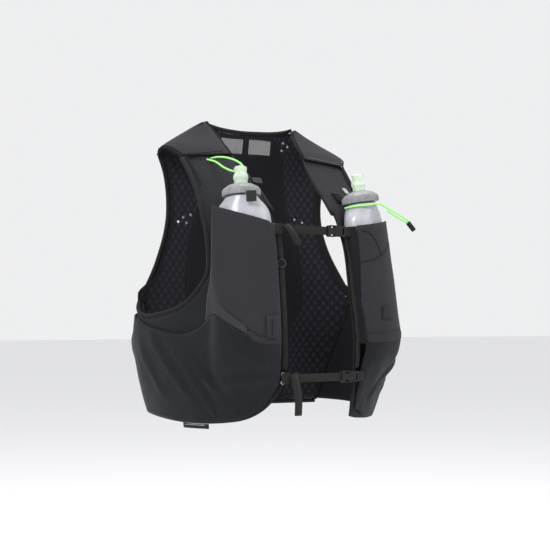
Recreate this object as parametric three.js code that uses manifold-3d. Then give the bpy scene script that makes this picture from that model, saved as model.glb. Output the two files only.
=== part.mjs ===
// Running hydration vest: an open-front mesh vest with two soft flasks in its chest pockets.
// Millimetres, +Z up. The wearer faces -Y, so the wearer's right is -X.
// The origin lies between the shoulder seats, at the height of the highest point of the neck edge.

import * as THREE from "three";
import { mergeVertices } from "three/addons/utils/BufferGeometryUtils.js";
import Module from "manifold-3d";

const wasm = await Module();
wasm.setup();

// Main form of the worn vest
const vestHeight = 398;
const shoulderDrop = 40;
const neckHalfWidth = 67;
const shoulderHalfWidth = 132;
const bodyHalfWidth = 162;
const frontReach = 171;
const backReach = 42;

// Cloth
const panelWall = 2.2;
const yokeWall = 2.2;
const pocketWall = 1.5;
const bandWall = 1.4;
const clothGap = 0.9;
const seamGap = 0.6;
const sideSeamGap = 0.6;
const bindingWidth = 4.6;
const bindingThickness = 3.6;
const foldDepth = 1.6;
const lowerPocketPuff = 5;
const sideLift = 1.6;

// Soft flasks
const flaskWidth = 72;
const flaskThickness = 42;
const flaskTop = 119;
const flaskHeight = 176;
const flaskOffset = 83;
const flaskProud = 5;
const flaskLean = 6;
const flaskTurn = 28;
const flaskTilt = { right: 0, left: 8.5 };
const flaskFit = 0.8;
const flaskFade = 62;
const capDiameter = 46;
const capHeight = 15;
const valveDiameter = 16;
const valveHeight = 21;
const partGap = 0.3;

// Webbing, buckles and small hardware
const railWidth = { right: 7, left: 6 };
const webbingThickness = 1.6;
const strapWidth = 10;
const upperStrapLevel = 158;
const lowerStrapLevel = 337;
const strapProud = 7.2;
const sliderLength = 8;
const sliderWall = 1.3;
const buckleSocketLength = 14;
const bucklePlugLength = 11;
const buckleWidth = 14;
const buckleThickness = 6;
const snap = { diameter: 5, thickness: 1.5, x: 40, levels: { upper: 332, lower: 342 } };
const cordDiameter = 2.4;
const cordEnd = { diameter: 6.4, length: 13 };
const hookLoop = { x: 41, down: 200, radius: 5, cord: 2, lift: 5 };
const pullTab = { x: 41, down: 94, width: 12, height: 12, thickness: 2.4, lift: 2.5 };
const capTab = { out: 13, down: 5, width: 12, height: 13, thickness: 1.5 };
const strapClip = { x: 69, down: 110, width: 13, height: 17, plate: 1.6, rib: 1.4 };
const reflector = { x: 93, down: 97, width: 8, height: 10, thickness: 0.8 };
const zipPocket = { from: 46, to: 59, top: 262, bottom: 289, wall: 1.2 };
const sideTab = { from: 82, to: 95, top: 250, bottom: 266, wall: 1.2 };
const hemTab = { from: 47, to: 61, bottom: 400, wall: 1.6 };
const anchorLength = { right: 11, left: 8 };
const anchorThickness = 2.6;
const railTop = 152;
const railBottom = 326;
const railBulges = 7;
const railBulge = 1.6;
const capLift = 0.3;

// Back neck edge, windows and pierced groups
const neckSag = 8;
const windowWidth = 34;
const windowHeight = 20;
const windowSpacing = 4;
const windowDown = 17;
const holeDiameter = 5;

// Insets of the pockets: degrees at their outer edges, millimetres at the hem, rail and band
const edgeInset = 0.9;
const hemInset = 1.2;
const railInset = 0.9;
const bandInset = 0.7;
const foldCount = 5;
const foldSlant = 1.3;

// Free ends of the sternum straps: how far they swing out, hang down and stand forward
const upperTail = { out: 15, drop: 24, forward: 4 };
const lowerTail = { out: 6, drop: 50, forward: 5 };

// Pierced holes of the back. out: share of the body half width. down: share of the vest height.
const pierced = [
  { out: 0.345, down: 0.046 },
  { out: 0.39, down: 0.058 },
  { out: 0.34, down: 0.072 },
  { out: 0.49, down: 0.312 },
  { out: 0.56, down: 0.322 },
  { out: 0.53, down: 0.34 },
  { out: 0.61, down: 0.338 },
];

// Sections of the form over the shoulders. down: share of the shoulder drop. widen: from the neck
// half width (0) to the shoulder half width (1). front, back, middle: shares of the two reaches.
// square: how square the front and the back of the section are.
const shoulderSections = [
  { down: -0.08, widen: -0.11, front: -0.105, back: 0.571, middle: 0.5, squareFront: 2.0, squareBack: 2.0 },
  { down: 0.0, widen: 0.0, front: -0.082, back: 0.595, middle: 0.5, squareFront: 2.1, squareBack: 2.1 },
  { down: 0.35, widen: 0.385, front: -0.018, back: 0.69, middle: 0.405, squareFront: 2.3, squareBack: 2.3 },
  { down: 0.7, widen: 0.708, front: 0.07, back: 0.762, middle: 0.31, squareFront: 2.5, squareBack: 2.5 },
  { down: 1.0, widen: 1.0, front: 0.158, back: 0.833, middle: 0.214, squareFront: 2.7, squareBack: 2.6 },
];

// Sections below the shoulders. down: share of the height below them. widen: from the shoulder
// half width (0) to the body half width (1).
const bodySections = [
  { down: 0.048, widen: 0.33, front: 0.269, back: 0.905, middle: 0.143, squareFront: 2.7, squareBack: 2.6 },
  { down: 0.112, widen: 0.53, front: 0.45, back: 0.976, middle: 0.0, squareFront: 2.5, squareBack: 2.6 },
  { down: 0.176, widen: 0.6, front: 0.62, back: 1.0, middle: -0.095, squareFront: 2.3, squareBack: 2.6 },
  { down: 0.232, widen: 0.67, front: 0.772, back: 1.0, middle: -0.19, squareFront: 2.1, squareBack: 2.6 },
  { down: 0.299, widen: 0.73, front: 0.912, back: 1.0, middle: -0.286, squareFront: 2.0, squareBack: 2.6 },
  { down: 0.391, widen: 0.8, front: 0.959, back: 0.976, middle: -0.333, squareFront: 2.0, squareBack: 2.6 },
  { down: 0.489, widen: 0.87, front: 0.982, back: 0.929, middle: -0.31, squareFront: 2.0, squareBack: 2.6 },
  { down: 0.555, widen: 1.2, front: 0.99, back: 0.92, middle: -0.2, squareFront: 2.0, squareBack: 2.6 },
  { down: 0.628, widen: 1.28, front: 1.0, back: 0.89, middle: -0.16, squareFront: 2.0, squareBack: 2.6 },
  { down: 0.726, widen: 1.27, front: 1.0, back: 0.83, middle: -0.12, squareFront: 2.0, squareBack: 2.5 },
  { down: 0.852, widen: 1.03, front: 0.98, back: 0.76, middle: -0.1, squareFront: 2.0, squareBack: 2.4 },
  { down: 1.02, widen: 0.6, front: 0.94, back: 0.69, middle: -0.08, squareFront: 2.0, squareBack: 2.3 },
];

// Front edges from the yoke seam to the hem. down: share of the vest height.
// right, left: distance from the middle, as shares of the body half width.
const frontEdges = [
  { down: 0.12, right: 0.354, left: 0.354 },
  { down: 0.2, right: 0.31, left: 0.31 },
  { down: 0.259, right: 0.284, left: 0.29 },
  { down: 0.309, right: 0.284, left: 0.29 },
  { down: 0.377, right: 0.266, left: 0.279 },
  { down: 0.425, right: 0.241, left: 0.302 },
  { down: 0.495, right: 0.235, left: 0.325 },
  { down: 0.606, right: 0.228, left: 0.348 },
  { down: 0.67, right: 0.225, left: 0.37 },
  { down: 0.735, right: 0.222, left: 0.385 },
  { down: 0.8, right: 0.219, left: 0.39 },
  { down: 0.86, right: 0.225, left: 0.395 },
  { down: 1.0, right: 0.24, left: 0.375 },
];

// Arm opening, front branch. down: share of the vest height. angle: degrees from the front.
const armFront = [
  { down: 0.146, angle: 72 },
  { down: 0.2, angle: 63.5 },
  { down: 0.262, angle: 56.7 },
  { down: 0.35, angle: 51 },
  { down: 0.431, angle: 48.3 },
  { down: 0.517, angle: 47 },
  { down: 0.541, angle: 47.3 },
];

// Arm opening under the arm, as far as the side seam. down: share of the vest height.
const armUnder = [
  { angle: 47.3, down: 0.541 },
  { angle: 52, down: 0.603 },
  { angle: 58, down: 0.638 },
  { angle: 69, down: 0.66 },
  { angle: 79, down: 0.668 },
  { angle: 86, down: 0.661 },
  { angle: 92, down: 0.64 },
  { angle: 98.6, down: 0.593 },
];

// Arm opening, back branch, and the side seam below it. down: share of the vest height.
// out: distance from the middle, as a share of the body half width.
const armBack = [
  { down: 0.118, out: 0.79 },
  { down: 0.15, out: 0.735 },
  { down: 0.22, out: 0.698 },
  { down: 0.3, out: 0.682 },
  { down: 0.39, out: 0.722 },
  { down: 0.477, out: 0.802 },
  { down: 0.54, out: 0.883 },
  { down: 0.593, out: 1.03 },
];
const sideSeam = [
  { down: 0.593, angle: 98.6 },
  { down: 0.75, angle: 101.5 },
  { down: 0.85, angle: 103 },
  { down: 0.96, angle: 104.5 },
];

// Yoke rows over the shoulder, from the front seam to the back seam.
// over: share of the way. Neck end and arm end of each row: degrees from the front, and depth as
// a share of the drop.
const yokeRows = [
  { over: 0, neckAngle: 50.3, neckDown: 1.31, armAngle: 72, armDown: 1.42 },
  { over: 0.25, neckAngle: 61.3, neckDown: 0.92, armAngle: 75.5, armDown: 1.28 },
  { over: 0.5, neckAngle: 75.3, neckDown: 0.5, armAngle: 80, armDown: 1.13 },
  { over: 0.75, neckAngle: 84.6, neckDown: 0.16, armAngle: 85, armDown: 1.04 },
  { over: 0.9, neckAngle: 88.2, neckDown: 0.02, armAngle: 91, armDown: 1.02 },
  { over: 1, neckAngle: 91.3, neckDown: 0.06, armAngle: 95.5, armDown: 1.1 },
];

// Hem under the front and side, and edges of the pockets, by degrees from the front.
// down: share of the vest height.
const frontHem = [
  { angle: 13, down: 0.865 },
  { angle: 16.5, down: 0.907 },
  { angle: 21, down: 0.943 },
  { angle: 29, down: 0.973 },
  { angle: 40, down: 0.985 },
  { angle: 54, down: 0.99 },
  { angle: 64, down: 0.986 },
  { angle: 87, down: 0.969 },
  { angle: 104.5, down: 0.95 },
];
const leftHem = [
  { angle: 18, down: 0.955 },
  { angle: 22, down: 0.972 },
  { angle: 29, down: 0.982 },
  { angle: 54, down: 0.99 },
  { angle: 87, down: 0.967 },
  { angle: 104.5, down: 0.95 },
];
const bottleMouth = [
  { angle: 13, down: 0.38 },
  { angle: 18.5, down: 0.372 },
  { angle: 34, down: 0.352 },
  { angle: 50.5, down: 0.33 },
];
const leftMouth = [
  { angle: 13, down: 0.38 },
  { angle: 50.5, down: 0.352 },
];
const bandTop = [
  { angle: 13, down: 0.724 },
  { angle: 22, down: 0.72 },
  { angle: 26.3, down: 0.7 },
  { angle: 28.9, down: 0.679 },
  { angle: 37.3, down: 0.638 },
  { angle: 43, down: 0.588 },
  { angle: 46.2, down: 0.549 },
];
const leftBandTop = [
  { angle: 13, down: 0.716 },
  { angle: 46.2, down: 0.706 },
];
const lowerPocketTop = [
  { angle: 13, down: 0.736 },
  { angle: 22, down: 0.734 },
  { angle: 26.7, down: 0.716 },
  { angle: 37.2, down: 0.674 },
  { angle: 42.5, down: 0.65 },
  { angle: 46, down: 0.68 },
  { angle: 51, down: 0.708 },
  { angle: 59, down: 0.716 },
  { angle: 69, down: 0.707 },
  { angle: 83, down: 0.687 },
  { angle: 92, down: 0.665 },
  { angle: 104.5, down: 0.645 },
];
const leftPocketTop = [
  { angle: 13, down: 0.737 },
  { angle: 46, down: 0.727 },
  { angle: 59, down: 0.722 },
  { angle: 83, down: 0.687 },
  { angle: 92, down: 0.665 },
  { angle: 104.5, down: 0.645 },
];

const degrees = Math.PI / 180;
const mix = (a, b, t) => a + (b - a) * t;
const clamp = (value, low, high) => Math.min(high, Math.max(low, value));

// Smooth curve through a table's rows, flat beyond its ends
function read(table, key, at, value) {
  const last = table.length - 1;
  if (at <= table[0][key]) return table[0][value];
  if (at >= table[last][key]) return table[last][value];
  const i = table.findIndex((row) => row[key] > at) - 1;
  const slope = (k) => {
    const a = table[Math.max(k - 1, 0)];
    const b = table[Math.min(k + 1, last)];
    return (b[value] - a[value]) / (b[key] - a[key]);
  };
  const low = table[i];
  const high = table[i + 1];
  const span = high[key] - low[key];
  const t = (at - low[key]) / span;
  const rise = high[value] - low[value];
  const pull = (slope(i) + slope(i + 1)) * span - 2 * rise;
  const bend = 3 * rise - (2 * slope(i) + slope(i + 1)) * span;
  return low[value] + slope(i) * span * t + bend * t * t + pull * t ** 3;
}

// All sections as one table in millimetres, from the top down
const sections = [
  ...shoulderSections.map((row) => ({
    ...row,
    down: row.down * shoulderDrop,
    half: mix(neckHalfWidth, shoulderHalfWidth, row.widen),
  })),
  ...bodySections.map((row) => ({
    ...row,
    down: shoulderDrop + row.down * (vestHeight - shoulderDrop),
    half: mix(shoulderHalfWidth, bodyHalfWidth, row.widen),
  })),
].map((row) => ({
  ...row,
  front: -row.front * frontReach,
  back: row.back * backReach,
  middle: row.middle * backReach,
}));

function sectionAt(z) {
  const at = (value) => read(sections, "down", -z, value);
  return {
    half: at("half"),
    front: at("middle") - at("front"),
    back: at("back") - at("middle"),
    middle: at("middle"),
    squareFront: at("squareFront"),
    squareBack: at("squareBack"),
  };
}

// Point of the form at a level and an angle from the front, negative towards the wearer's right
function formPoint(angle, z) {
  const s = sectionAt(z);
  const sine = Math.sin(angle * degrees);
  const cosine = Math.cos(angle * degrees);
  const depth = cosine > 0 ? s.front : s.back;
  const square = cosine > 0 ? s.squareFront : s.squareBack;
  const radius = (Math.abs(sine / s.half) ** square + Math.abs(cosine / depth) ** square) ** (-1 / square);
  return new THREE.Vector3(radius * sine, s.middle - radius * cosine, z);
}

function formNormal(angle, z) {
  const around = formPoint(angle + 1, z).sub(formPoint(angle - 1, z));
  const down = formPoint(angle, z - 2).sub(formPoint(angle, z + 2));
  return down.cross(around).normalize();
}

function frontAngle(x, z) {
  const s = sectionAt(z);
  const y = s.front * (1 - Math.min(Math.abs(x) / s.half, 0.999) ** s.squareFront) ** (1 / s.squareFront);
  return Math.atan2(x, y) / degrees;
}

function backAngle(x, z) {
  const s = sectionAt(z);
  const y = s.back * (1 - Math.min(Math.abs(x) / s.half, 0.999) ** s.squareBack) ** (1 / s.squareBack);
  return Math.atan2(x, -y) / degrees;
}

// Frame of a flask: its axis leans with the chest and tilts outwards, and its flat faces turn outwards
function flaskFrame(side) {
  const middle = -(flaskTop + flaskHeight / 2);
  const x = side * flaskOffset;
  const seat = formPoint(frontAngle(x, middle), middle);
  const normal = new THREE.Vector3(side * Math.sin(flaskTurn * degrees), -Math.cos(flaskTurn * degrees), 0);
  const across = new THREE.Vector3(-normal.y, normal.x, 0);
  const lean = new THREE.Vector3(0, Math.tan(flaskLean * degrees), 0);
  const tilt = -side * Math.tan(flaskTilt[sideName(side)] * degrees);
  const up = new THREE.Vector3(0, 0, 1).add(lean).addScaledVector(across, tilt);
  const start = new THREE.Vector3(x, seat.y - flaskProud, middle).addScaledVector(lean, -flaskTop - middle);
  start.z = -flaskTop;
  const axis = (z) => start.clone().addScaledVector(up, z + flaskTop);
  const basis = new THREE.Matrix4();
  const upright = up.clone().normalize();
  const wide = across.clone().addScaledVector(upright, -across.dot(upright)).normalize();
  basis.makeBasis(wide, upright.clone().cross(wide), upright);
  return { normal, across, axis, basis };
}
const sideName = (side) => (side < 0 ? "right" : "left");
const flaskFrames = { "-1": flaskFrame(-1), 1: flaskFrame(1) };

// How far a flask holds the cloth away from its axis at a level: full along the body, fading below it
function flaskFullness(z) {
  const bottom = -(flaskTop + flaskHeight);
  const share = clamp((z - bottom + flaskFade) / (flaskFade + 10), 0, 1);
  return share * share * (3 - 2 * share);
}

// Cloth of the front at a level and angle: "behind" the flask, or "over" it by a lift
function frontCloth(side, angle, z, layer, lift = 0) {
  const point = formPoint(side * angle, z);
  const { normal, across, axis } = flaskFrames[side];
  const offset = point.clone().sub(axis(z));
  const sideways = Math.abs(offset.dot(across));
  const height = offset.dot(normal);
  const reach = flaskWidth / 2 + 3;
  const fullness = flaskFullness(z);
  const hold = (flaskThickness / 2 + flaskFit) * Math.sqrt(Math.max(0, 1 - (sideways / reach) ** 2));
  if (layer === "behind") {
    return point.addScaledVector(normal, sideways < reach ? Math.min(0, -hold * fullness - height) : 0);
  }
  const near = clamp((reach + 6 - sideways) / 6, 0, 1);
  point.addScaledVector(formNormal(side * angle, z), clothGap + lift);
  return point.addScaledVector(normal, Math.max(0, hold - height) * near * fullness);
}

const cornersOf = (i, j) => [[i, j], [i, j + 1], [i + 1, j + 1], [i + 1, j]];

function latticeNormals(lattice, present = () => true) {
  const normals = lattice.map((row) => row.map(() => new THREE.Vector3()));
  for (let i = 0; i < lattice.length - 1; i++) {
    for (let j = 0; j < lattice[0].length - 1; j++) {
      if (!present(i, j)) continue;
      const [a, b, c, d] = cornersOf(i, j).map(([p, q]) => lattice[p][q]);
      const normal = c.clone().sub(a).cross(d.clone().sub(b)).normalize();
      for (const [p, q] of cornersOf(i, j)) normals[p][q].add(normal);
    }
  }
  return normals.map((row) => row.map((normal) => normal.normalize()));
}

// Shell of cloth from a lattice of points. present(i, j) says which cells exist. The lattice is
// one face and the other lies one wall away along its normals, towards the side that wall's sign says.
function shellGeometry(lattice, wall, present = () => true) {
  const rows = lattice.length;
  const columns = lattice[0].length;
  const cells = [];
  const normals = latticeNormals(lattice, present);
  for (let i = 0; i < rows - 1; i++) {
    for (let j = 0; j < columns - 1; j++) {
      if (present(i, j)) cells.push([i, j]);
    }
  }
  const positions = [];
  const index = new Map();
  const vertex = (i, j, face) => {
    const key = `${i},${j},${face}`;
    if (!index.has(key)) {
      index.set(key, positions.length / 3);
      const p = lattice[i][j].clone().addScaledVector(normals[i][j], face ? wall : 0);
      positions.push(p.x, p.y, p.z);
    }
    return index.get(key);
  };
  const triangles = [];
  const quad = (a, b, c, d) => triangles.push(a, b, c, a, c, d);
  const borders = new Map();
  for (const [i, j] of cells) {
    const corners = cornersOf(i, j);
    quad(...corners.map(([p, q]) => vertex(p, q, 0)));
    quad(...corners.map(([p, q]) => vertex(p, q, 1)).reverse());
    corners.forEach((corner, k) => {
      const next = corners[(k + 1) % 4];
      const back = `${next}>${corner}`;
      if (borders.has(back)) borders.delete(back);
      else borders.set(`${corner}>${next}`, [corner, next]);
    });
  }
  for (const [[a, b], [c, d]] of borders.values()) {
    quad(vertex(c, d, 0), vertex(a, b, 0), vertex(a, b, 1), vertex(c, d, 1));
  }
  return closedGeometry(positions, triangles);
}

// Geometry with its faces turned outwards
function closedGeometry(positions, triangles) {
  let volume = 0;
  const at = (k) => new THREE.Vector3().fromArray(positions, 3 * k);
  for (let k = 0; k < triangles.length; k += 3) {
    volume += at(triangles[k]).dot(at(triangles[k + 1]).cross(at(triangles[k + 2])));
  }
  if (volume < 0) triangles.reverse();
  const geometry = new THREE.BufferGeometry();
  geometry.setAttribute("position", new THREE.Float32BufferAttribute(positions, 3));
  geometry.setIndex(triangles);
  return geometry;
}

// Solid through a row of rings with equal point counts, capped at its ends or joined end to start
function loftGeometry(rings, joined = false) {
  const count = rings[0].length;
  const positions = rings.flat().flatMap((p) => [p.x, p.y, p.z]);
  const triangles = [];
  const last = rings.length - 1;
  for (let i = 0; i < rings.length - (joined ? 0 : 1); i++) {
    for (let j = 0; j < count; j++) {
      const a = i * count + j;
      const b = i * count + ((j + 1) % count);
      const c = (((i + 1) % rings.length) * count) + ((j + 1) % count);
      const d = (((i + 1) % rings.length) * count) + j;
      triangles.push(a, b, c, a, c, d);
    }
  }
  if (!joined) {
    for (let j = 1; j < count - 1; j++) {
      triangles.push(0, j + 1, j);
      triangles.push(last * count, last * count + j, last * count + j + 1);
    }
  }
  return closedGeometry(positions, triangles);
}

const vest = new THREE.Group();

function cloth(name, geometry, colour, roughness = 0.85) {
  return add(name, geometry, colour, roughness, 0, vest);
}

function add(name, geometry, colour, roughness, metalness, parent) {
  const material = new THREE.MeshStandardMaterial({ color: colour, roughness, metalness });
  const mesh = new THREE.Mesh(geometry, material);
  mesh.name = name;
  parent.add(mesh);
  return mesh;
}

const meshBlack = 0x26272c;
const smoothGrey = 0x3b3a42;
const deepBlack = 0x1c1c20;
const webbingGrey = 0x34352f;
const hardBlack = 0x202224;
const neonGreen = 0x8df06a;
const paleValve = 0xcfeccb;
const capGrey = 0xa9adb0;
const flaskWhite = 0xd9d6e6;
const lightGrey = 0xb9bcc0;

const spread = (count) => Array.from({ length: count + 1 }, (_, i) => i / count);
const edgeShare = (side, z) => read(frontEdges, "down", -z / vestHeight, sideName(side)) * bodyHalfWidth;
const innerAngle = (side, z) => Math.abs(frontAngle(edgeShare(side, z), z));
const armAngle = (z) => read(armFront, "down", -z / vestHeight, "angle");
const seamAngle = (z) => read(sideSeam, "down", -z / vestHeight, "angle");
const level = (table, angle) => -vestHeight * read(table, "angle", angle, "down");
const hemOf = (side) => (side < 0 ? frontHem : leftHem);
const mouthOf = (side) => (side < 0 ? bottleMouth : leftMouth);
const bandTopOf = (side) => (side < 0 ? bandTop : leftBandTop);
const pocketTopOf = (side) => (side < 0 ? lowerPocketTop : leftPocketTop);

// Front panel: strap rows above the arm opening's lowest front point, then rows from the opening
// and the strap down to the hem, as far as the side seam
const strapColumns = 10;
const sideColumns = 8;
const strapRows = 8;
const bodyRows = 6;
const strapEnd = -vestHeight * armUnder[0].down;
const frontPresent = (i, j) => i >= strapRows || j < strapColumns;

function frontPanelLattice(side) {
  const lattice = [];
  const seamStart = -shoulderDrop * yokeRows[0].neckDown - seamGap;
  const seamEnd = -shoulderDrop * yokeRows[0].armDown - seamGap;
  for (const v of spread(strapRows)) {
    const row = spread(strapColumns).map((u) => {
      const z = mix(mix(seamStart, seamEnd, u), strapEnd, v);
      return frontCloth(side, mix(innerAngle(side, z), armAngle(z), u), z, "behind");
    });
    const rest = spread(sideColumns).slice(1).map(() => row[strapColumns].clone());
    lattice.push([...row, ...rest]);
  }
  const corner = armUnder[0].angle;
  const underEnd = armUnder[armUnder.length - 1].angle;
  lattice.pop();
  for (const v of spread(bodyRows)) {
    const row = [];
    for (const u of spread(strapColumns)) {
      const angle = mix(innerAngle(side, mix(strapEnd, -vestHeight * 0.9, v)), corner, u);
      const z = mix(strapEnd, level(hemOf(side), angle), v);
      row.push(frontCloth(side, mix(innerAngle(side, z), corner, u), z, "behind"));
    }
    for (const u of spread(sideColumns).slice(1)) {
      const top = level(armUnder, mix(corner, underEnd, u));
      const z = mix(top, level(hemOf(side), mix(corner, 104.5, u)), v);
      row.push(frontCloth(side, mix(corner, seamAngle(z), u), z, "behind"));
    }
    lattice.push(row);
  }
  return lattice;
}

// Wall of a side piece: positive lies outside its lattice, negative inside
function sideShell(side, lattice, wall, present) {
  return shellGeometry(lattice, -side * wall, present);
}

// Yoke over the shoulder
const yokeColumns = 5;
const yokeSteps = 7;

function yokePoint(side, over, across) {
  const row = (value) => read(yokeRows, "over", over, value);
  const angle = mix(row("neckAngle"), row("armAngle"), across);
  const z = -shoulderDrop * mix(row("neckDown"), row("armDown"), across);
  return { angle, z, point: formPoint(side * angle, z) };
}

function yokeLattice(side) {
  return spread(yokeSteps).map((over) =>
    spread(yokeColumns).map((across) => yokePoint(side, over, across).point),
  );
}

// Back panel, from the neck edge to the hem, between the shoulder seams, arm openings and side seams
const backColumns = 14;
const underArm = armBack[armBack.length - 1].down;
const seamEnd = frontHem[frontHem.length - 1].down;
const seamLevels = spread(bodyRows).map((v) => mix(underArm, seamEnd, v));
const backLevels = [0.01, 0.028, 0.05, 0.082, 0.12, 0.17, 0.24, 0.32, 0.4, 0.477, 0.54, ...seamLevels];

function backHalf(z) {
  const down = -z / vestHeight;
  const seam = yokeRows[yokeRows.length - 1];
  if (down >= underArm - 0.001) return Math.abs(formPoint(seamAngle(z) + sideSeamGap, z).x);
  if (down > armBack[0].down) return read(armBack, "down", down, "out") * bodyHalfWidth;
  const angle = mix(seam.neckAngle, seam.armAngle, clamp(down / armBack[0].down, 0, 1)) + 1;
  return Math.abs(formPoint(angle, z).x) - seamGap;
}

function backPoint(share, down) {
  const sag = neckSag * (1 - share ** 2) * clamp(1 - (down - backLevels[0]) / 0.07, 0, 1);
  const z = -vestHeight * down - sag;
  const x = share * backHalf(z);
  return formPoint(backAngle(x, z), z);
}

function backLattice() {
  return backLevels.map((down) => spread(backColumns).map((u) => backPoint(2 * u - 1, down)));
}

// Solids for cutting
function toSolid(geometry) {
  const bare = geometry.index ? geometry.toNonIndexed() : geometry.clone();
  bare.deleteAttribute("normal");
  bare.deleteAttribute("uv");
  const merged = mergeVertices(bare, 1e-4);
  const vertProperties = new Float32Array(merged.attributes.position.array);
  const triVerts = new Uint32Array(merged.index.array);
  return new wasm.Manifold(new wasm.Mesh({ numProp: 3, vertProperties, triVerts }));
}

function fromSolid(solid) {
  const { vertProperties, triVerts } = solid.getMesh();
  return closedGeometry(Array.from(vertProperties), Array.from(triVerts));
}

// Windows below the neck edge and the pierced groups beside them and at the shoulder blades
function backCutters() {
  const cutters = [];
  for (const side of [-1, 1]) {
    const window = new THREE.BoxGeometry(windowWidth, 40, windowHeight);
    const out = side * (windowSpacing + windowWidth / 2);
    window.translate(out, backReach * 0.7, -windowDown - windowHeight / 2);
    cutters.push(window);
    for (const { out, down } of pierced) {
      const hole = new THREE.CylinderGeometry(holeDiameter / 2, holeDiameter / 2, 40, 4);
      hole.translate(side * out * bodyHalfWidth, backReach * 0.7, -down * vestHeight);
      cutters.push(hole);
    }
  }
  return cutters;
}

// Bound edge: a flat tube beside a cloth edge. Each entry has a point of the edge, a point inside
// the cloth near it, and the cloth's outward normal there.
function bindingGeometry(edge, joined) {
  const sides = 5;
  const apart = (entry, k) => k === 0 || entry.point.distanceTo(edge[k - 1].point) > seamGap * 3;
  const entries = edge.filter(apart);
  const rings = entries.map((entry, k) => {
    const count = entries.length;
    const before = entries[joined ? (k + count - 1) % count : Math.max(k - 1, 0)].point;
    const after = entries[joined ? (k + 1) % count : Math.min(k + 1, count - 1)].point;
    const along = after.clone().sub(before).normalize();
    const normal = entry.normal.clone().addScaledVector(along, -entry.normal.dot(along)).normalize();
    const away = along.clone().cross(normal);
    if (away.dot(entry.point.clone().sub(entry.inside)) < 0) away.negate();
    const centre = entry.point.clone().addScaledVector(away, bindingWidth / 2 + seamGap);
    centre.addScaledVector(normal, -panelWall / 2);
    return spread(sides).slice(1).map((share) => {
      const turn = share * 2 * Math.PI;
      return centre.clone()
        .addScaledVector(away, (Math.cos(turn) * bindingWidth) / 2)
        .addScaledVector(normal, (Math.sin(turn) * bindingThickness) / 2);
    });
  });
  return loftGeometry(rings, joined);
}

// Edge entries along a lattice: the steps name the lattice points, and inner(i, j) one inside each
function edgeEntries(lattice, present, outward, steps, inner) {
  const normals = latticeNormals(lattice, present);
  return steps.map(([i, j]) => {
    const [p, q] = inner(i, j);
    return {
      point: lattice[i][j],
      inside: lattice[p][q],
      normal: normals[i][j].clone().multiplyScalar(outward),
    };
  });
}

const count = (from, to) => {
  const length = Math.abs(to - from) + 1;
  return Array.from({ length }, (_, k) => from + Math.sign(to - from) * k);
};
const beside = (i, j) => [i, j + 1];
const armLevels = backLevels.map((down, i) => i).filter((i) =>
  backLevels[i] >= armBack[0].down && backLevels[i] <= underArm);

// Edge of an arm opening: down the strap, under the arm, up the back and over the yoke
function armEntries(side) {
  const front = frontPanelLattice(side);
  const yoke = yokeLattice(side);
  const rear = backLattice();
  const rearColumn = side < 0 ? 0 : backColumns;
  const strap = count(0, strapRows - 1).map((i) => [i, strapColumns]);
  const under = count(strapColumns, strapColumns + sideColumns).map((j) => [strapRows, j]);
  const up = [...armLevels].reverse().map((i) => [i, rearColumn]);
  const over = count(yokeSteps, 0).map((i) => [i, yokeColumns]);
  return [
    ...edgeEntries(front, frontPresent, -side, strap, (i, j) => [i, j - 1]),
    ...edgeEntries(front, frontPresent, -side, under, (i, j) => [i + 1, j === strapColumns ? j - 1 : j]),
    ...edgeEntries(rear, undefined, 1, up, (i, j) => [i, j - side]),
    ...edgeEntries(yoke, undefined, -side, over, (i, j) => [i, j - 1]),
  ];
}

// Edge of the front opening and the neck, from the right rail round the neck to the left rail
function neckEntries() {
  const half = (side) => {
    const front = frontPanelLattice(side);
    const start = front.findIndex((row) => row[0].z < -railTop);
    return [
      ...edgeEntries(front, frontPresent, -side, count(start - 1, 0).map((i) => [i, 0]), beside),
      ...edgeEntries(yokeLattice(side), undefined, -side, count(0, yokeSteps).map((i) => [i, 0]), beside),
    ];
  };
  const top = count(1, backColumns - 1).map((j) => [0, j]);
  return [
    ...half(-1),
    ...edgeEntries(backLattice(), undefined, 1, top, (i, j) => [i + 1, j]),
    ...half(1).reverse(),
  ];
}

function hemEntries() {
  const last = backLevels.length - 1;
  const steps = count(0, backColumns).map((j) => [last, j]);
  return edgeEntries(backLattice(), undefined, 1, steps, (i, j) => [i - 1, j]);
}

// Bottle pocket, between the front edge and the arm opening, from its mouth to the elastic band
const firstKey = bottleMouth[0].angle;
const pocketKey = bandTop[bandTop.length - 1].angle;
const lastKey = 104.5;

// Degrees that a width along the surface takes up at a level, from the front edge outwards
function degreesOf(side, z, width) {
  const inner = innerAngle(side, z);
  return width / formPoint(inner, z).distanceTo(formPoint(inner + 1, z));
}

function pocketPoint(side, key, z, lift) {
  const inner = innerAngle(side, z) + degreesOf(side, z, railWidth[sideName(side)] + railInset);
  const corner = armUnder[0].angle - edgeInset;
  const angle = key <= pocketKey
    ? mix(inner, Math.min(corner, armAngle(z) - edgeInset), (key - firstKey) / (pocketKey - firstKey))
    : mix(corner, seamAngle(z) - edgeInset, (key - pocketKey) / (lastKey - pocketKey));
  return frontCloth(side, angle, z, "over", lift);
}

const pocketColumns = 12;
const pocketRows = 6;
const bandFirst = 5;
const frontKeys = spread(pocketColumns).map((u) => mix(firstKey, pocketKey, u));
const sideKeys = spread(sideColumns).slice(1).map((u) => mix(pocketKey, lastKey, u));

function bottlePocketLattice(side) {
  return spread(pocketRows).map((v) => frontKeys.map((key) => {
    const mouth = level(mouthOf(side), key * (bottleMouth[3].angle / pocketKey));
    return pocketPoint(side, key, mix(mouth, level(bandTopOf(side), key), v), 0);
  }));
}

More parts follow.
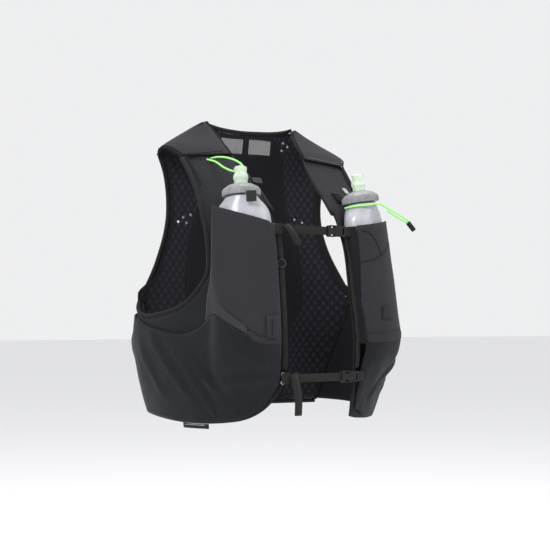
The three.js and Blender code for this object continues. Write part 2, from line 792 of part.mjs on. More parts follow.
// Lower pocket, over the rest of the front as far as the side seam, loose and folded
function lowerFold(u, v) {
  const loose = Math.sin(Math.PI * clamp(u, 0, 1)) ** 0.5 * Math.sin(Math.PI * clamp(v, 0, 1));
  const fold = Math.sin(2 * Math.PI * (foldCount * u - foldSlant * v));
  return loose * (lowerPocketPuff + foldDepth * fold);
}

function lowerPocketLattice(side) {
  return spread(pocketRows).map((v) => [...frontKeys, ...sideKeys].map((key) => {
    const z = mix(level(pocketTopOf(side), key), level(hemOf(side), key) + hemInset, v);
    const aside = sideLift * clamp((key - pocketKey) / 25, 0, 1);
    return pocketPoint(side, key, z, aside + lowerFold((key - firstKey) / (lastKey - firstKey), v));
  }));
}

// Elastic band between the two pockets
function bandLattice(side) {
  return spread(2).map((v) => frontKeys.slice(bandFirst).map((key) => {
    const top = level(bandTopOf(side), key) - bandInset;
    return pocketPoint(side, key, mix(top, level(pocketTopOf(side), key) + bandInset, v), 0);
  }));
}

// Daisy chain webbing along a front edge, standing in a small bulge between its bar tacks
function railLattice(side) {
  const width = railWidth[sideName(side)];
  return spread(railBulges * 3).map((v) => {
    const z = -mix(railTop, railBottom, v);
    const bulge = clothGap + railBulge * Math.abs(Math.sin(Math.PI * railBulges * v));
    return [0, 1].map((u) => {
      const angle = side * (innerAngle(side, z) + u * degreesOf(side, z, width));
      return formPoint(angle, z).addScaledVector(formNormal(angle, z), bulge);
    });
  });
}

// Small flat piece laid over a pocket, between two distances from the middle and two levels
function patchGeometry(side, { from, to, top, bottom, wall }) {
  const lattice = spread(3).map((v) => spread(3).map((u) => {
    const z = -mix(top, bottom, v);
    return frontCloth(side, Math.abs(frontAngle(mix(from, to, u), z)), z, "over", pocketWall + clothGap);
  }));
  return sideShell(side, lattice, wall);
}

// Webbing tab under the hem
function hemTabGeometry() {
  const { from, to, bottom, wall } = hemTab;
  const lattice = spread(2).map((v) => spread(4).map((u) => {
    const angle = mix(from, to, u);
    return formPoint(-angle, mix(level(frontHem, angle) - seamGap, -bottom, v));
  }));
  return sideShell(-1, lattice, -wall);
}

const extrude = (shape, depth) =>
  new THREE.ExtrudeGeometry(shape, { depth, bevelEnabled: false, curveSegments: 2 });

function roundedShape(width, height, radius) {
  const shape = new THREE.Shape();
  const x = width / 2;
  const y = height / 2;
  shape.absarc(x - radius, y - radius, radius, 0, Math.PI / 2);
  shape.absarc(radius - x, y - radius, radius, Math.PI / 2, Math.PI);
  shape.absarc(radius - x, radius - y, radius, Math.PI, 1.5 * Math.PI);
  shape.absarc(x - radius, radius - y, radius, 1.5 * Math.PI, 2 * Math.PI);
  shape.closePath();
  return shape;
}

// Block with rounded corners: length along X, thickness along Y, height along Z
function block(length, thickness, height, radius, holes = []) {
  const shape = roundedShape(length, height, radius);
  for (const { x, z, width, tall, round } of holes) {
    const outline = roundedShape(width, tall, round).getPoints(2);
    const hole = outline.map((p) => new THREE.Vector2(p.x + x, p.y + z));
    shape.holes.push(new THREE.Path(hole));
  }
  return extrude(shape, thickness).rotateX(Math.PI / 2).translate(0, thickness / 2, 0);
}

// Sleeve round a strap: a frame whose opening runs along X
function sleeve(length, thickness, height, wall) {
  const shape = roundedShape(thickness, height, 1);
  const hole = roundedShape(thickness - 2 * wall, height - 2 * wall, 0.4);
  shape.holes.push(new THREE.Path(hole.getPoints(2)));
  return extrude(shape, length).rotateX(Math.PI / 2).rotateZ(Math.PI / 2);
}

// Sternum strap in a group whose X runs from the right edge to the left edge
function sternumStrap(name, down, tail) {
  const z = -down;
  const ends = [-1, 1].map((side) => {
    const point = formPoint(side * innerAngle(side, z), z);
    return new THREE.Vector3(point.x, point.y - strapProud, z);
  });
  const span = ends[0].distanceTo(ends[1]);
  const group = new THREE.Group();
  group.position.copy(ends[0]);
  group.rotation.z = Math.atan2(ends[1].y - ends[0].y, ends[1].x - ends[0].x);
  vest.add(group);
  const place = (part, geometry, colour, x, y = 0, height = 0) => {
    const mesh = add(`${name}_${part}`, geometry, colour, 0.5, 0, group);
    mesh.position.set(x, y, height);
    return mesh;
  };
  const socketStart = span - bucklePlugLength - buckleSocketLength + 1;
  const plugStart = socketStart + buckleSocketLength + partGap;
  const plugEnd = plugStart + bucklePlugLength;
  const sleeveThickness = webbingThickness + 2 * (sliderWall + partGap);
  const sleeveHeight = strapWidth + 2 * (sliderWall + partGap);
  const webStart = anchorLength.right / 2 + partGap - 3;
  const rightAnchor = block(anchorLength.right, anchorThickness, buckleWidth - 1, 2);
  place("anchor", rightAnchor, webbingGrey, -3);
  place("slider", sleeve(sliderLength, sleeveThickness, sleeveHeight, sliderWall), hardBlack, webStart + 3);
  const web = socketStart - partGap - webStart;
  place("webbing", block(web, webbingThickness, strapWidth, 0.6), webbingGrey, webStart + web / 2);
  const slot = { x: 0, z: buckleWidth / 2 - 2.2, width: 6, tall: 1.8, round: 0.6 };
  place("buckle_socket", block(buckleSocketLength, buckleThickness, buckleWidth, 2.4,
    [slot, { ...slot, z: -slot.z }]), hardBlack, socketStart + buckleSocketLength / 2);
  place("buckle_plug", block(bucklePlugLength, buckleThickness - 1, buckleWidth - 1, 2,
    [{ x: 2, z: 0, width: 2, tall: 8, round: 0.6 }]), hardBlack, plugStart + bucklePlugLength / 2);
  const leftAnchor = block(anchorLength.left, anchorThickness, buckleWidth - 2, 2);
  place("left_anchor", leftAnchor, webbingGrey, plugEnd + partGap + anchorLength.left / 2);
  const rows = spread(6).map((t) => {
    const swing = tail.out * t;
    const x = webStart + 4 + swing;
    const y = -sleeveThickness / 2 - partGap - webbingThickness - tail.forward * Math.sin(Math.PI * t);
    return [-1, 1].map((edge) =>
      new THREE.Vector3(x + (edge * strapWidth) / 2 - 1, y, strapWidth / 2 - tail.drop * t));
  });
  place("tail", shellGeometry(rows, webbingThickness), webbingGrey, 0);
}

// Soft flask: body, cap and valve in one group whose Z is the flask's axis and whose -Y is its front
const flaskRings = [
  { down: 0, wide: 0.56, thick: 0.9 },
  { down: 0.03, wide: 0.62, thick: 0.92 },
  { down: 0.065, wide: 0.82, thick: 0.94 },
  { down: 0.12, wide: 0.96, thick: 0.97 },
  { down: 0.22, wide: 1, thick: 1 },
  { down: 0.6, wide: 1, thick: 1 },
  { down: 0.86, wide: 0.96, thick: 0.9 },
  { down: 0.95, wide: 0.86, thick: 0.62 },
  { down: 1, wide: 0.7, thick: 0.24 },
];

function flaskBody() {
  const rings = flaskRings.map(({ down, wide, thick }) =>
    spread(16).slice(1).map((share) => {
      const turn = share * 2 * Math.PI;
      const x = (Math.cos(turn) * wide * flaskWidth) / 2;
      const y = (Math.sin(turn) * thick * flaskThickness) / 2;
      return new THREE.Vector3(x, y, -down * flaskHeight);
    }));
  return loftGeometry(rings);
}

function turned(profile, sides) {
  const points = profile.map(([r, z]) => new THREE.Vector2(r, z));
  return new THREE.LatheGeometry(points, sides).rotateX(Math.PI / 2);
}

function flaskCap() {
  const r = capDiameter / 2;
  const profile = [
    [0, 0],
    [r, 0],
    [r, capHeight * 0.5],
    [r * 0.94, capHeight * 0.62],
    [r * 0.72, capHeight * 0.85],
    [valveDiameter * 0.56, capHeight],
    [0, capHeight],
  ];
  return turned(profile, 14);
}

function biteValve() {
  const r = valveDiameter / 2;
  const profile = [
    [0, 0],
    [r, 0],
    [r, valveHeight * 0.16],
    [r * 1.16, valveHeight * 0.34],
    [r * 1.1, valveHeight * 0.5],
    [r * 0.92, valveHeight * 0.62],
    [r, valveHeight * 0.95],
    [r * 0.8, valveHeight],
    [0, valveHeight],
  ];
  return turned(profile, 8);
}

function flask(side) {
  const name = sideName(side);
  const top = new THREE.Group();
  top.quaternion.setFromRotationMatrix(flaskFrames[side].basis);
  top.position.copy(flaskFrames[side].axis(-flaskTop));
  vest.add(top);
  add(`${name}_flask_body`, flaskBody(), flaskWhite, 0.3, 0, top);
  const cap = add(`${name}_flask_cap`, flaskCap(), capGrey, 0.4, 0, top);
  cap.position.z = capLift;
  const valve = add(`${name}_bite_valve`, biteValve(), paleValve, 0.5, 0, top);
  valve.position.z = capLift + capHeight + partGap;
  return top;
}

// Cord as a tube of eight sides along a smooth route
function cordGeometry(points, diameter, steps) {
  const route = new THREE.CatmullRomCurve3(points.map((p) => new THREE.Vector3(...p)));
  const section = new THREE.Shape();
  section.absarc(0, 0, diameter / 2, 0, 2 * Math.PI);
  return new THREE.ExtrudeGeometry(section, { steps, extrudePath: route, curveSegments: 4 });
}

// Piece on the front: Y of its geometry points into the cloth, X runs across it
function frontPiece(name, side, x, down, lift, geometry, colour, roughness = 0.6) {
  const angle = side * Math.abs(frontAngle(x, -down));
  const inwards = formNormal(angle, -down).negate();
  const across = inwards.clone().cross(new THREE.Vector3(0, 0, 1)).normalize();
  const mesh = add(name, geometry, colour, roughness, 0, vest);
  mesh.quaternion.setFromRotationMatrix(
    new THREE.Matrix4().makeBasis(across, inwards, across.clone().cross(inwards)));
  mesh.position.copy(formPoint(angle, -down)).addScaledVector(inwards, -lift);
}

// Strap clip: a plate with three ribs across it
function clipGeometry() {
  const { width, height, plate, rib } = strapClip;
  const shape = new THREE.Shape();
  shape.moveTo(0, -height / 2);
  shape.lineTo(0, height / 2);
  shape.lineTo(-plate, height / 2);
  for (const k of [1, 0, -1]) {
    const middle = (height * k) / 3;
    shape.lineTo(-plate, middle + rib);
    shape.lineTo(-plate - rib, middle + rib * 0.6);
    shape.lineTo(-plate - rib, middle - rib * 0.6);
    shape.lineTo(-plate, middle - rib);
  }
  shape.lineTo(-plate, -height / 2);
  const turn = new THREE.Matrix4().makeBasis(
    new THREE.Vector3(0, 1, 0), new THREE.Vector3(0, 0, 1), new THREE.Vector3(1, 0, 0));
  return extrude(shape, width).translate(0, 0, -width / 2).applyMatrix4(turn);
}

// Cord from the right strap, forward behind the bite valve and back
const rightCordRoute = [
  [-84.5, -48, -60], [-83, -63, -60.5], [-78.8, -80, -62.9], [-76.3, -110, -71.5], [-74.5, -122, -78],
  [-77, -127.5, -82.5], [-80.5, -126, -86], [-82.2, -119, -86], [-83.2, -90, -78], [-85.5, -65, -66.8],
  [-89.5, -47, -61.5],
];

// Cord round the front of the left flask's neck and out to its end piece. turn: degrees from the
// flask's front, negative towards the middle of the chest
const neckTurns = [-115, -85, -55, -25, 5, 35];
const neckLoop = { radius: 24.6, down: 4.5 };
const leftCordOut = [[118, -152, -126], [127, -151, -129.5], [139, -149, -134.5], [150, -146, -139]];
const leftCordReturn = [
  [115, -152, -128], [124, -150.8, -132.3], [137, -148.2, -137.6], [148.2, -146, -141.8],
];

function leftCordRoute() {
  const { basis, axis } = flaskFrames[1];
  const ring = neckTurns.map((turn) => {
    const point = new THREE.Vector3(Math.sin(turn * degrees), -Math.cos(turn * degrees), 0);
    point.multiplyScalar(neckLoop.radius).setZ(-neckLoop.down);
    return point.applyMatrix4(basis).add(axis(-flaskTop)).toArray();
  });
  return [...ring, ...leftCordOut];
}

function cordEndPiece() {
  const ends = [leftCordOut[3], leftCordReturn[3]].map((place) => new THREE.Vector3(...place));
  const start = ends[0].add(ends[1]).divideScalar(2);
  const along = new THREE.Vector3(10, 0, -10.5).normalize();
  const piece = new THREE.CylinderGeometry(cordEnd.diameter / 2, cordEnd.diameter / 2, cordEnd.length, 8);
  const mesh = add("left_cord_end", piece, hardBlack, 0.5, 0, vest);
  mesh.quaternion.setFromUnitVectors(new THREE.Vector3(0, 1, 0), along);
  mesh.position.copy(start).addScaledVector(along, cordEnd.length / 2 + cordDiameter * 0.62);
}

for (const side of [-1, 1]) {
  const name = sideName(side);
  const panel = sideShell(side, frontPanelLattice(side), -panelWall, frontPresent);
  cloth(`${name}_front_panel`, panel, meshBlack);
  cloth(`${name}_yoke`, sideShell(side, yokeLattice(side), -yokeWall), smoothGrey);
  cloth(`${name}_armhole_binding`, bindingGeometry(armEntries(side), true), deepBlack);
  cloth(`${name}_bottle_pocket`, sideShell(side, bottlePocketLattice(side), pocketWall), smoothGrey);
  cloth(`${name}_lower_pocket`, sideShell(side, lowerPocketLattice(side), pocketWall), meshBlack);
  cloth(`${name}_pocket_band`, sideShell(side, bandLattice(side), bandWall), webbingGrey);
  cloth(`${name}_rail`, sideShell(side, railLattice(side), webbingThickness), webbingGrey);
  const neck = flask(side);
  if (side > 0) continue;
  const { out, width, height, thickness } = capTab;
  const plate = add("right_cap_tab", block(width, thickness, height, 1), hardBlack, 0.5, 0, neck);
  plate.position.set(out, -(capDiameter + thickness) / 2 - partGap, -capTab.down);
}

let back = toSolid(shellGeometry(backLattice(), -panelWall));
for (const cutter of backCutters()) back = back.subtract(toSolid(cutter));
cloth("back_panel", fromSolid(back), meshBlack);
cloth("neck_binding", bindingGeometry(neckEntries(), false), deepBlack);
cloth("back_hem_binding", bindingGeometry(hemEntries(), false), deepBlack);

sternumStrap("upper_strap", upperStrapLevel, upperTail);
sternumStrap("lower_strap", lowerStrapLevel, lowerTail);

cloth("zip_pocket", patchGeometry(-1, zipPocket), deepBlack);
cloth("side_tab", patchGeometry(1, sideTab), deepBlack);
cloth("hem_tab", hemTabGeometry(), webbingGrey);

for (const [name, down] of Object.entries(snap.levels)) {
  const disc = new THREE.CylinderGeometry(snap.diameter / 2, snap.diameter / 2, snap.thickness, 8);
  frontPiece(`${name}_snap`, -1, snap.x, down, partGap + snap.thickness / 2, disc, lightGrey);
}
const ring = new THREE.TorusGeometry(hookLoop.radius, hookLoop.cord / 2, 5, 10).rotateX(Math.PI / 2);
frontPiece("rail_hook_loop", -1, hookLoop.x, hookLoop.down, hookLoop.lift, ring, deepBlack);
const tab = block(pullTab.width, pullTab.thickness, pullTab.height, 2);
frontPiece("right_pull_tab", -1, pullTab.x, pullTab.down, pullTab.lift, tab, meshBlack);
frontPiece("strap_clip", 1, strapClip.x, strapClip.down, partGap, clipGeometry(), hardBlack);
const plate = block(reflector.width, reflector.thickness, reflector.height, 1);
const reflectorLift = partGap + reflector.thickness / 2;
frontPiece("strap_reflector", 1, reflector.x, reflector.down, reflectorLift, plate, lightGrey);

cloth("right_retainer_cord", cordGeometry(rightCordRoute, cordDiameter, 26), neonGreen);
cloth("left_retainer_cord", cordGeometry(leftCordRoute(), cordDiameter, 20), neonGreen);
cloth("left_retainer_strand", cordGeometry(leftCordReturn, cordDiameter, 8), neonGreen);
cordEndPiece();

export default vest;
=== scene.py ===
import math

import bmesh
import bpy
from mathutils import Matrix, Vector, noise
from mathutils.bvhtree import BVHTree


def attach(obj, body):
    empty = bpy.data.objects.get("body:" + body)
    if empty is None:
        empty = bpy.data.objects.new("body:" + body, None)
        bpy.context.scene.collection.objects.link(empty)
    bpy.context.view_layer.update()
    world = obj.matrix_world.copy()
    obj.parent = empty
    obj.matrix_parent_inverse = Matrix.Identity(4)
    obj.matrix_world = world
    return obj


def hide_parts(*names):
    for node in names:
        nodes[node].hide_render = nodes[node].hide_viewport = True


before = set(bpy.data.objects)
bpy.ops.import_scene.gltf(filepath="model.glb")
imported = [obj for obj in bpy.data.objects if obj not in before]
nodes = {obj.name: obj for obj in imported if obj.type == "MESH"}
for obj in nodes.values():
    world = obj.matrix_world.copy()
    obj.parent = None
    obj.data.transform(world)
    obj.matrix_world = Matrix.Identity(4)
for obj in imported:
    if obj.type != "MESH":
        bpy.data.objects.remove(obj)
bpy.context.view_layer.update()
scene = bpy.context.scene
MM = 0.001


def add(name, data):
    """New object in the scene."""
    obj = bpy.data.objects.new(name, data)
    scene.collection.objects.link(obj)
    return obj


# Camera: level, 25 degrees to the wearer's right of the front, 1.38 m from the vest's middle
CAMERA_PLACE = (-0.5832, -1.2507, -0.267)
CAMERA_TURN = 25
LENS = {"lens": 66.4, "sensor_width": 36, "shift_x": 0.0364, "shift_y": 0.0815, "clip_start": 0.05}
camera_data = bpy.data.cameras.new("camera")
for key, value in LENS.items():
    setattr(camera_data, key, value)
camera = add("camera", camera_data)
camera.location = CAMERA_PLACE
camera.rotation_euler = (math.radians(90), 0, math.radians(-CAMERA_TURN))
scene.camera = camera

# Cord routes in millimetres
cord_diameter = 2.4
right_cord = [
    (-84.5, -48, -60), (-83, -63, -60.5), (-78.8, -80, -62.9), (-76.3, -110, -71.5), (-74.5, -122, -78),
    (-77, -127.5, -82.5), (-80.5, -126, -86), (-82.2, -119, -86), (-83.2, -90, -78), (-85.5, -65, -66.8),
    (-89.5, -47, -61.5),
]
left_cord_ring = [
    (59.2, -141.5, -126.6), (63.1, -153.5, -125.6), (72.6, -162, -124.1), (84.9, -164.4, -122.4),
    (96.9, -160.4, -120.9), (105.3, -151, -120.2),
]
left_cord_out = [(118, -152, -126), (127, -151, -129.5), (139, -149, -134.5), (150, -146, -139)]
left_cord_return = [(115, -152, -128), (124, -150.8, -132.3), (137, -148.2, -137.6), (148.2, -146, -141.8)]


def catmull(points, per_span=8):
    """Centripetal curve through the points."""
    pts = [Vector(p) * MM for p in points]
    pts = [pts[0] * 2 - pts[1]] + pts + [pts[-1] * 2 - pts[-2]]
    line = []
    for k in range(1, len(pts) - 2):
        a, b, c, d = pts[k - 1 : k + 3]
        t0 = max((b - a).length, 1e-5) ** 0.5
        t1 = max((c - b).length, 1e-5) ** 0.5
        t2 = max((d - c).length, 1e-5) ** 0.5
        start = ((b - a) / t0 - (c - a) / (t0 + t1) + (c - b) / t1) * t1
        end = ((c - b) / t1 - (d - b) / (t1 + t2) + (d - c) / t2) * t1
        for i in range(per_span):
            t = i / per_span
            rise = c - b
            bend = 3 * rise - 2 * start - end
            line.append(b + start * t + bend * t**2 + (start + end - 2 * rise) * t**3)
    line.append(pts[-2])
    return line


def cord_curve(name, line):
    curve = bpy.data.curves.new(name, "CURVE")
    curve.dimensions = "3D"
    curve.bevel_depth = cord_diameter / 2 * MM
    curve.bevel_resolution = 4
    curve.use_fill_caps = True
    spline = curve.splines.new("POLY")
    spline.points.add(len(line) - 1)
    for point, place in zip(spline.points, line):
        point.co = (*place, 1)
    return add(name, curve)


right_line = catmull(right_cord)
left_line = catmull(left_cord_ring + left_cord_out)
return_line = catmull(left_cord_return)
cords = {
    "right_retainer_cord": cord_curve("right_cord", right_line),
    "left_retainer_cord": cord_curve("left_cord", left_line),
    "left_retainer_strand": cord_curve("left_strand", return_line),
}

# Form of the worn vest, as in the frame: rows of down, half width, front, back, middle, square front
# and square back, in millimetres
SECTIONS = [
    (-3.2, 59.9, 18.0, 24.0, 21.0, 2.0, 2.0),
    (0, 67.0, 14.0, 25.0, 21.0, 2.1, 2.1),
    (14, 92.0, 3.1, 29.0, 17.0, 2.3, 2.3),
    (28, 113.0, -12.0, 32.0, 13.0, 2.5, 2.5),
    (40, 132.0, -27.0, 35.0, 9.0, 2.7, 2.6),
    (57.2, 141.9, -46.0, 38.0, 6.0, 2.7, 2.6),
    (80.1, 147.9, -77.0, 41.0, 0.0, 2.5, 2.6),
    (103.0, 150.0, -106.0, 42.0, -4.0, 2.3, 2.6),
    (123.1, 152.1, -132.0, 42.0, -8.0, 2.1, 2.6),
    (147.0, 153.9, -156.0, 42.0, -12.0, 2.0, 2.6),
    (180.0, 156.0, -164.0, 41.0, -14.0, 2.0, 2.6),
    (215.1, 158.1, -167.9, 39.0, -13.0, 2.0, 2.6),
    (238.7, 168.0, -169.3, 38.6, -8.4, 2.0, 2.6),
    (264.8, 170.4, -171.0, 37.4, -6.7, 2.0, 2.6),
    (299.9, 170.1, -171.0, 34.9, -5.0, 2.0, 2.5),
    (345.0, 162.9, -167.6, 31.9, -4.2, 2.0, 2.4),
    (405.2, 150.0, -160.7, 29.0, -3.4, 2.0, 2.3),
]
HEIGHT = 398
DROP = 40
HALF = 162

FRONT_EDGE_RIGHT = [
    (0.12, 0.354), (0.2, 0.31), (0.259, 0.284), (0.309, 0.284), (0.377, 0.266), (0.425, 0.241),
    (0.495, 0.235), (0.606, 0.228), (0.67, 0.225), (0.735, 0.222), (0.8, 0.219), (0.86, 0.225), (1.0, 0.24),
]
FRONT_EDGE_LEFT = [
    (0.12, 0.354), (0.2, 0.31), (0.259, 0.29), (0.309, 0.29), (0.377, 0.279), (0.425, 0.302),
    (0.495, 0.325), (0.606, 0.348), (0.67, 0.37), (0.735, 0.385), (0.8, 0.39), (0.86, 0.395), (1.0, 0.375),
]
ARM_FRONT = [(0.146, 72), (0.2, 63.5), (0.262, 56.7), (0.35, 51), (0.431, 48.3), (0.517, 47), (0.541, 47.3)]
ARM_BACK = [
    (0.118, 0.79), (0.15, 0.735), (0.22, 0.698), (0.3, 0.682), (0.39, 0.722), (0.477, 0.802), (0.54, 0.883),
    (0.593, 1.03),
]
SIDE_SEAM = [(0.593, 98.6), (0.75, 101.5), (0.85, 103), (0.96, 104.5)]
# Yoke rows: over, neck angle, neck down, arm angle, arm down
NECK_ANGLE, NECK_DOWN, ARM_ANGLE, ARM_DOWN = 1, 2, 3, 4
YOKE = [
    (0, 50.3, 1.31, 72, 1.42), (0.25, 61.3, 0.92, 75.5, 1.28), (0.5, 75.3, 0.5, 80, 1.13),
    (0.75, 84.6, 0.16, 85, 1.04), (0.9, 88.2, 0.02, 91, 1.02), (1, 91.3, 0.06, 95.5, 1.1),
]
HEM = {
    -1: [(13, 0.865), (16.5, 0.907), (21, 0.943), (29, 0.973), (40, 0.985), (54, 0.99), (64, 0.986),
         (87, 0.969), (104.5, 0.95)],
    1: [(18, 0.955), (22, 0.972), (29, 0.982), (54, 0.99), (87, 0.967), (104.5, 0.95)],
}
MOUTH = {-1: [(13, 0.38), (18.5, 0.372), (34, 0.352), (50.5, 0.33)], 1: [(13, 0.38), (50.5, 0.352)]}
POCKET_TOP = {
    -1: [(13, 0.736), (22, 0.734), (26.7, 0.716), (37.2, 0.674), (42.5, 0.65), (46, 0.68), (51, 0.708),
         (59, 0.716), (69, 0.707), (83, 0.687), (92, 0.665), (104.5, 0.645)],
    1: [(13, 0.737), (46, 0.727), (59, 0.722), (83, 0.687), (92, 0.665), (104.5, 0.645)],
}
RAIL_WIDTH = {-1: 7, 1: 6}
FLASK = {"width": 72, "thick": 42, "top": 119, "height": 176, "offset": 83, "proud": 5, "lean": 6,
         "turn": 28, "fit": 0.8, "fade": 62}
# Room beside and below the flask, the width over which cloth comes up to it, and the gap between layers
SIDE_ROOM, FADE_ROOM, BLEND, LAYER_GAP = 3, 10, 6, 0.9
# Degrees between the pockets' edges and the seams
SEAM_GAP = 0.9
TILT = {-1: 0, 1: 8.5}
SIDE_NAME = {-1: "right", 1: "left"}
FIRST_KEY, POCKET_KEY, LAST_KEY = 13, 46.2, 104.5


def mix(a, b, t):
    return a + (b - a) * t


def clamp(value, low=0.0, high=1.0):
    return min(high, max(low, value))


def smooth(value):
    value = clamp(value)
    return value * value * (3 - 2 * value)


def spread(count):
    return [i / count for i in range(count + 1)]


def stops(start, end, count):
    """Evenly spaced values from start to end."""
    return [mix(start, end, t) for t in spread(count)]


def read(table, at, column=1):
    """Smooth curve through a table's rows, flat beyond its ends."""
    if at <= table[0][0]:
        return table[0][column]
    if at >= table[-1][0]:
        return table[-1][column]
    i = next(k for k, row in enumerate(table) if row[0] > at) - 1

    def slope(k):
        a, b = table[max(k - 1, 0)], table[min(k + 1, len(table) - 1)]
        return (b[column] - a[column]) / (b[0] - a[0])

    low, high = table[i], table[i + 1]
    span = high[0] - low[0]
    t = (at - low[0]) / span
    rise = high[column] - low[column]
    s0, s1 = slope(i) * span, slope(i + 1) * span
    return low[column] + s0 * t + (3 * rise - 2 * s0 - s1) * t * t + (s0 + s1 - 2 * rise) * t**3


def section_at(z):
    """Half width, front, back, middle, square front and square back of the form."""
    return [read(SECTIONS, -z, column) for column in range(1, 7)]


def form_point(angle, z):
    half, front, back, middle, square_front, square_back = section_at(z)
    sine, cosine = math.sin(math.radians(angle)), math.cos(math.radians(angle))
    depth = middle - front if cosine > 0 else back - middle
    square = square_front if cosine > 0 else square_back
    radius = (abs(sine / half) ** square + abs(cosine / depth) ** square) ** (-1 / square)
    return Vector((radius * sine, middle - radius * cosine, z))


def form_normal(angle, z):
    around = form_point(angle + 1, z) - form_point(angle - 1, z)
    down = form_point(angle, z - 2) - form_point(angle, z + 2)
    return down.cross(around).normalized()


def angle_at(x, z, back=False):
    half, front, rear, middle, square_front, square_back = section_at(z)
    depth, square = (rear - middle, square_back) if back else (middle - front, square_front)
    y = depth * (1 - min(abs(x) / half, 0.999) ** square) ** (1 / square)
    return math.degrees(math.atan2(x, -y if back else y))


class Flask:
    def __init__(self, side):
        f = FLASK
        middle = -(f["top"] + f["height"] / 2)
        x = side * f["offset"]
        seat = form_point(angle_at(x, middle), middle)
        turn = math.radians(f["turn"])
        self.normal = Vector((side * math.sin(turn), -math.cos(turn), 0))
        self.across = Vector((-self.normal.y, self.normal.x, 0))
        lean = Vector((0, math.tan(math.radians(f["lean"])), 0))
        self.up = Vector((0, 0, 1)) + lean + self.across * (-side * math.tan(math.radians(TILT[side])))
        self.start = Vector((x, seat.y - f["proud"], middle)) + lean * (-f["top"] - middle)
        self.start.z = -f["top"]
        upright = self.up.normalized()
        wide = (self.across - upright * self.across.dot(upright)).normalized()
        turned = upright.cross(wide)
        self.basis = Matrix((wide, turned, upright)).transposed()

    def axis(self, z):
        return self.start + self.up * (z + FLASK["top"])

    def place(self, x, y, z):
        return self.start + self.basis @ Vector((x, y, z))


FLASKS = {-1: Flask(-1), 1: Flask(1)}


def front_cloth(side, angle, z, over, lift=0.0):
    """Point of the front cloth in millimetres, behind the flask or over it."""
    point = form_point(side * angle, z)
    flask = FLASKS[side]
    offset = point - flask.axis(z)
    sideways = abs(offset.dot(flask.across))
    height = offset.dot(flask.normal)
    reach = FLASK["width"] / 2 + SIDE_ROOM
    fade = FLASK["fade"]
    fullness = smooth((z + FLASK["top"] + FLASK["height"] + fade) / (fade + FADE_ROOM))
    hold = (FLASK["thick"] / 2 + FLASK["fit"]) * math.sqrt(max(0, 1 - (sideways / reach) ** 2))
    if not over:
        return point + flask.normal * (min(0, -hold * fullness - height) if sideways < reach else 0)
    near = clamp((reach + BLEND - sideways) / BLEND)
    point = point + form_normal(side * angle, z) * (LAYER_GAP + lift)
    return point + flask.normal * (max(0, hold - height) * near * fullness)


def inner_angle(side, z):
    table = FRONT_EDGE_RIGHT if side < 0 else FRONT_EDGE_LEFT
    return abs(angle_at(read(table, -z / HEIGHT) * HALF, z))


def arm_angle(z):
    return read(ARM_FRONT, -z / HEIGHT)


def seam_angle(z):
    return read(SIDE_SEAM, -z / HEIGHT)


def level(table, angle):
    return -HEIGHT * read(table, angle)


def degrees_of(side, z, width):
    inner = inner_angle(side, z)
    return width / (form_point(inner, z) - form_point(inner + 1, z)).length


def pocket_point(side, key, z, lift):
    inner = inner_angle(side, z) + degrees_of(side, z, RAIL_WIDTH[side] + LAYER_GAP)
    corner = ARM_FRONT[-1][1] - SEAM_GAP
    if key <= POCKET_KEY:
        share = (key - FIRST_KEY) / (POCKET_KEY - FIRST_KEY)
        angle = mix(inner, min(corner, arm_angle(z) - SEAM_GAP), share)
    else:
        share = (key - POCKET_KEY) / (LAST_KEY - POCKET_KEY)
        angle = mix(corner, seam_angle(z) - SEAM_GAP, share)
    return front_cloth(side, angle, z, True, lift)


def wrinkle(p, size, depth, seed=0.0):
    """Slow uneven folds of cloth, in millimetres."""
    q = Vector((p.x / size + seed, p.y / size, p.z / size))
    return depth * (noise.noise(q) + 0.5 * noise.noise(q * 2.1))


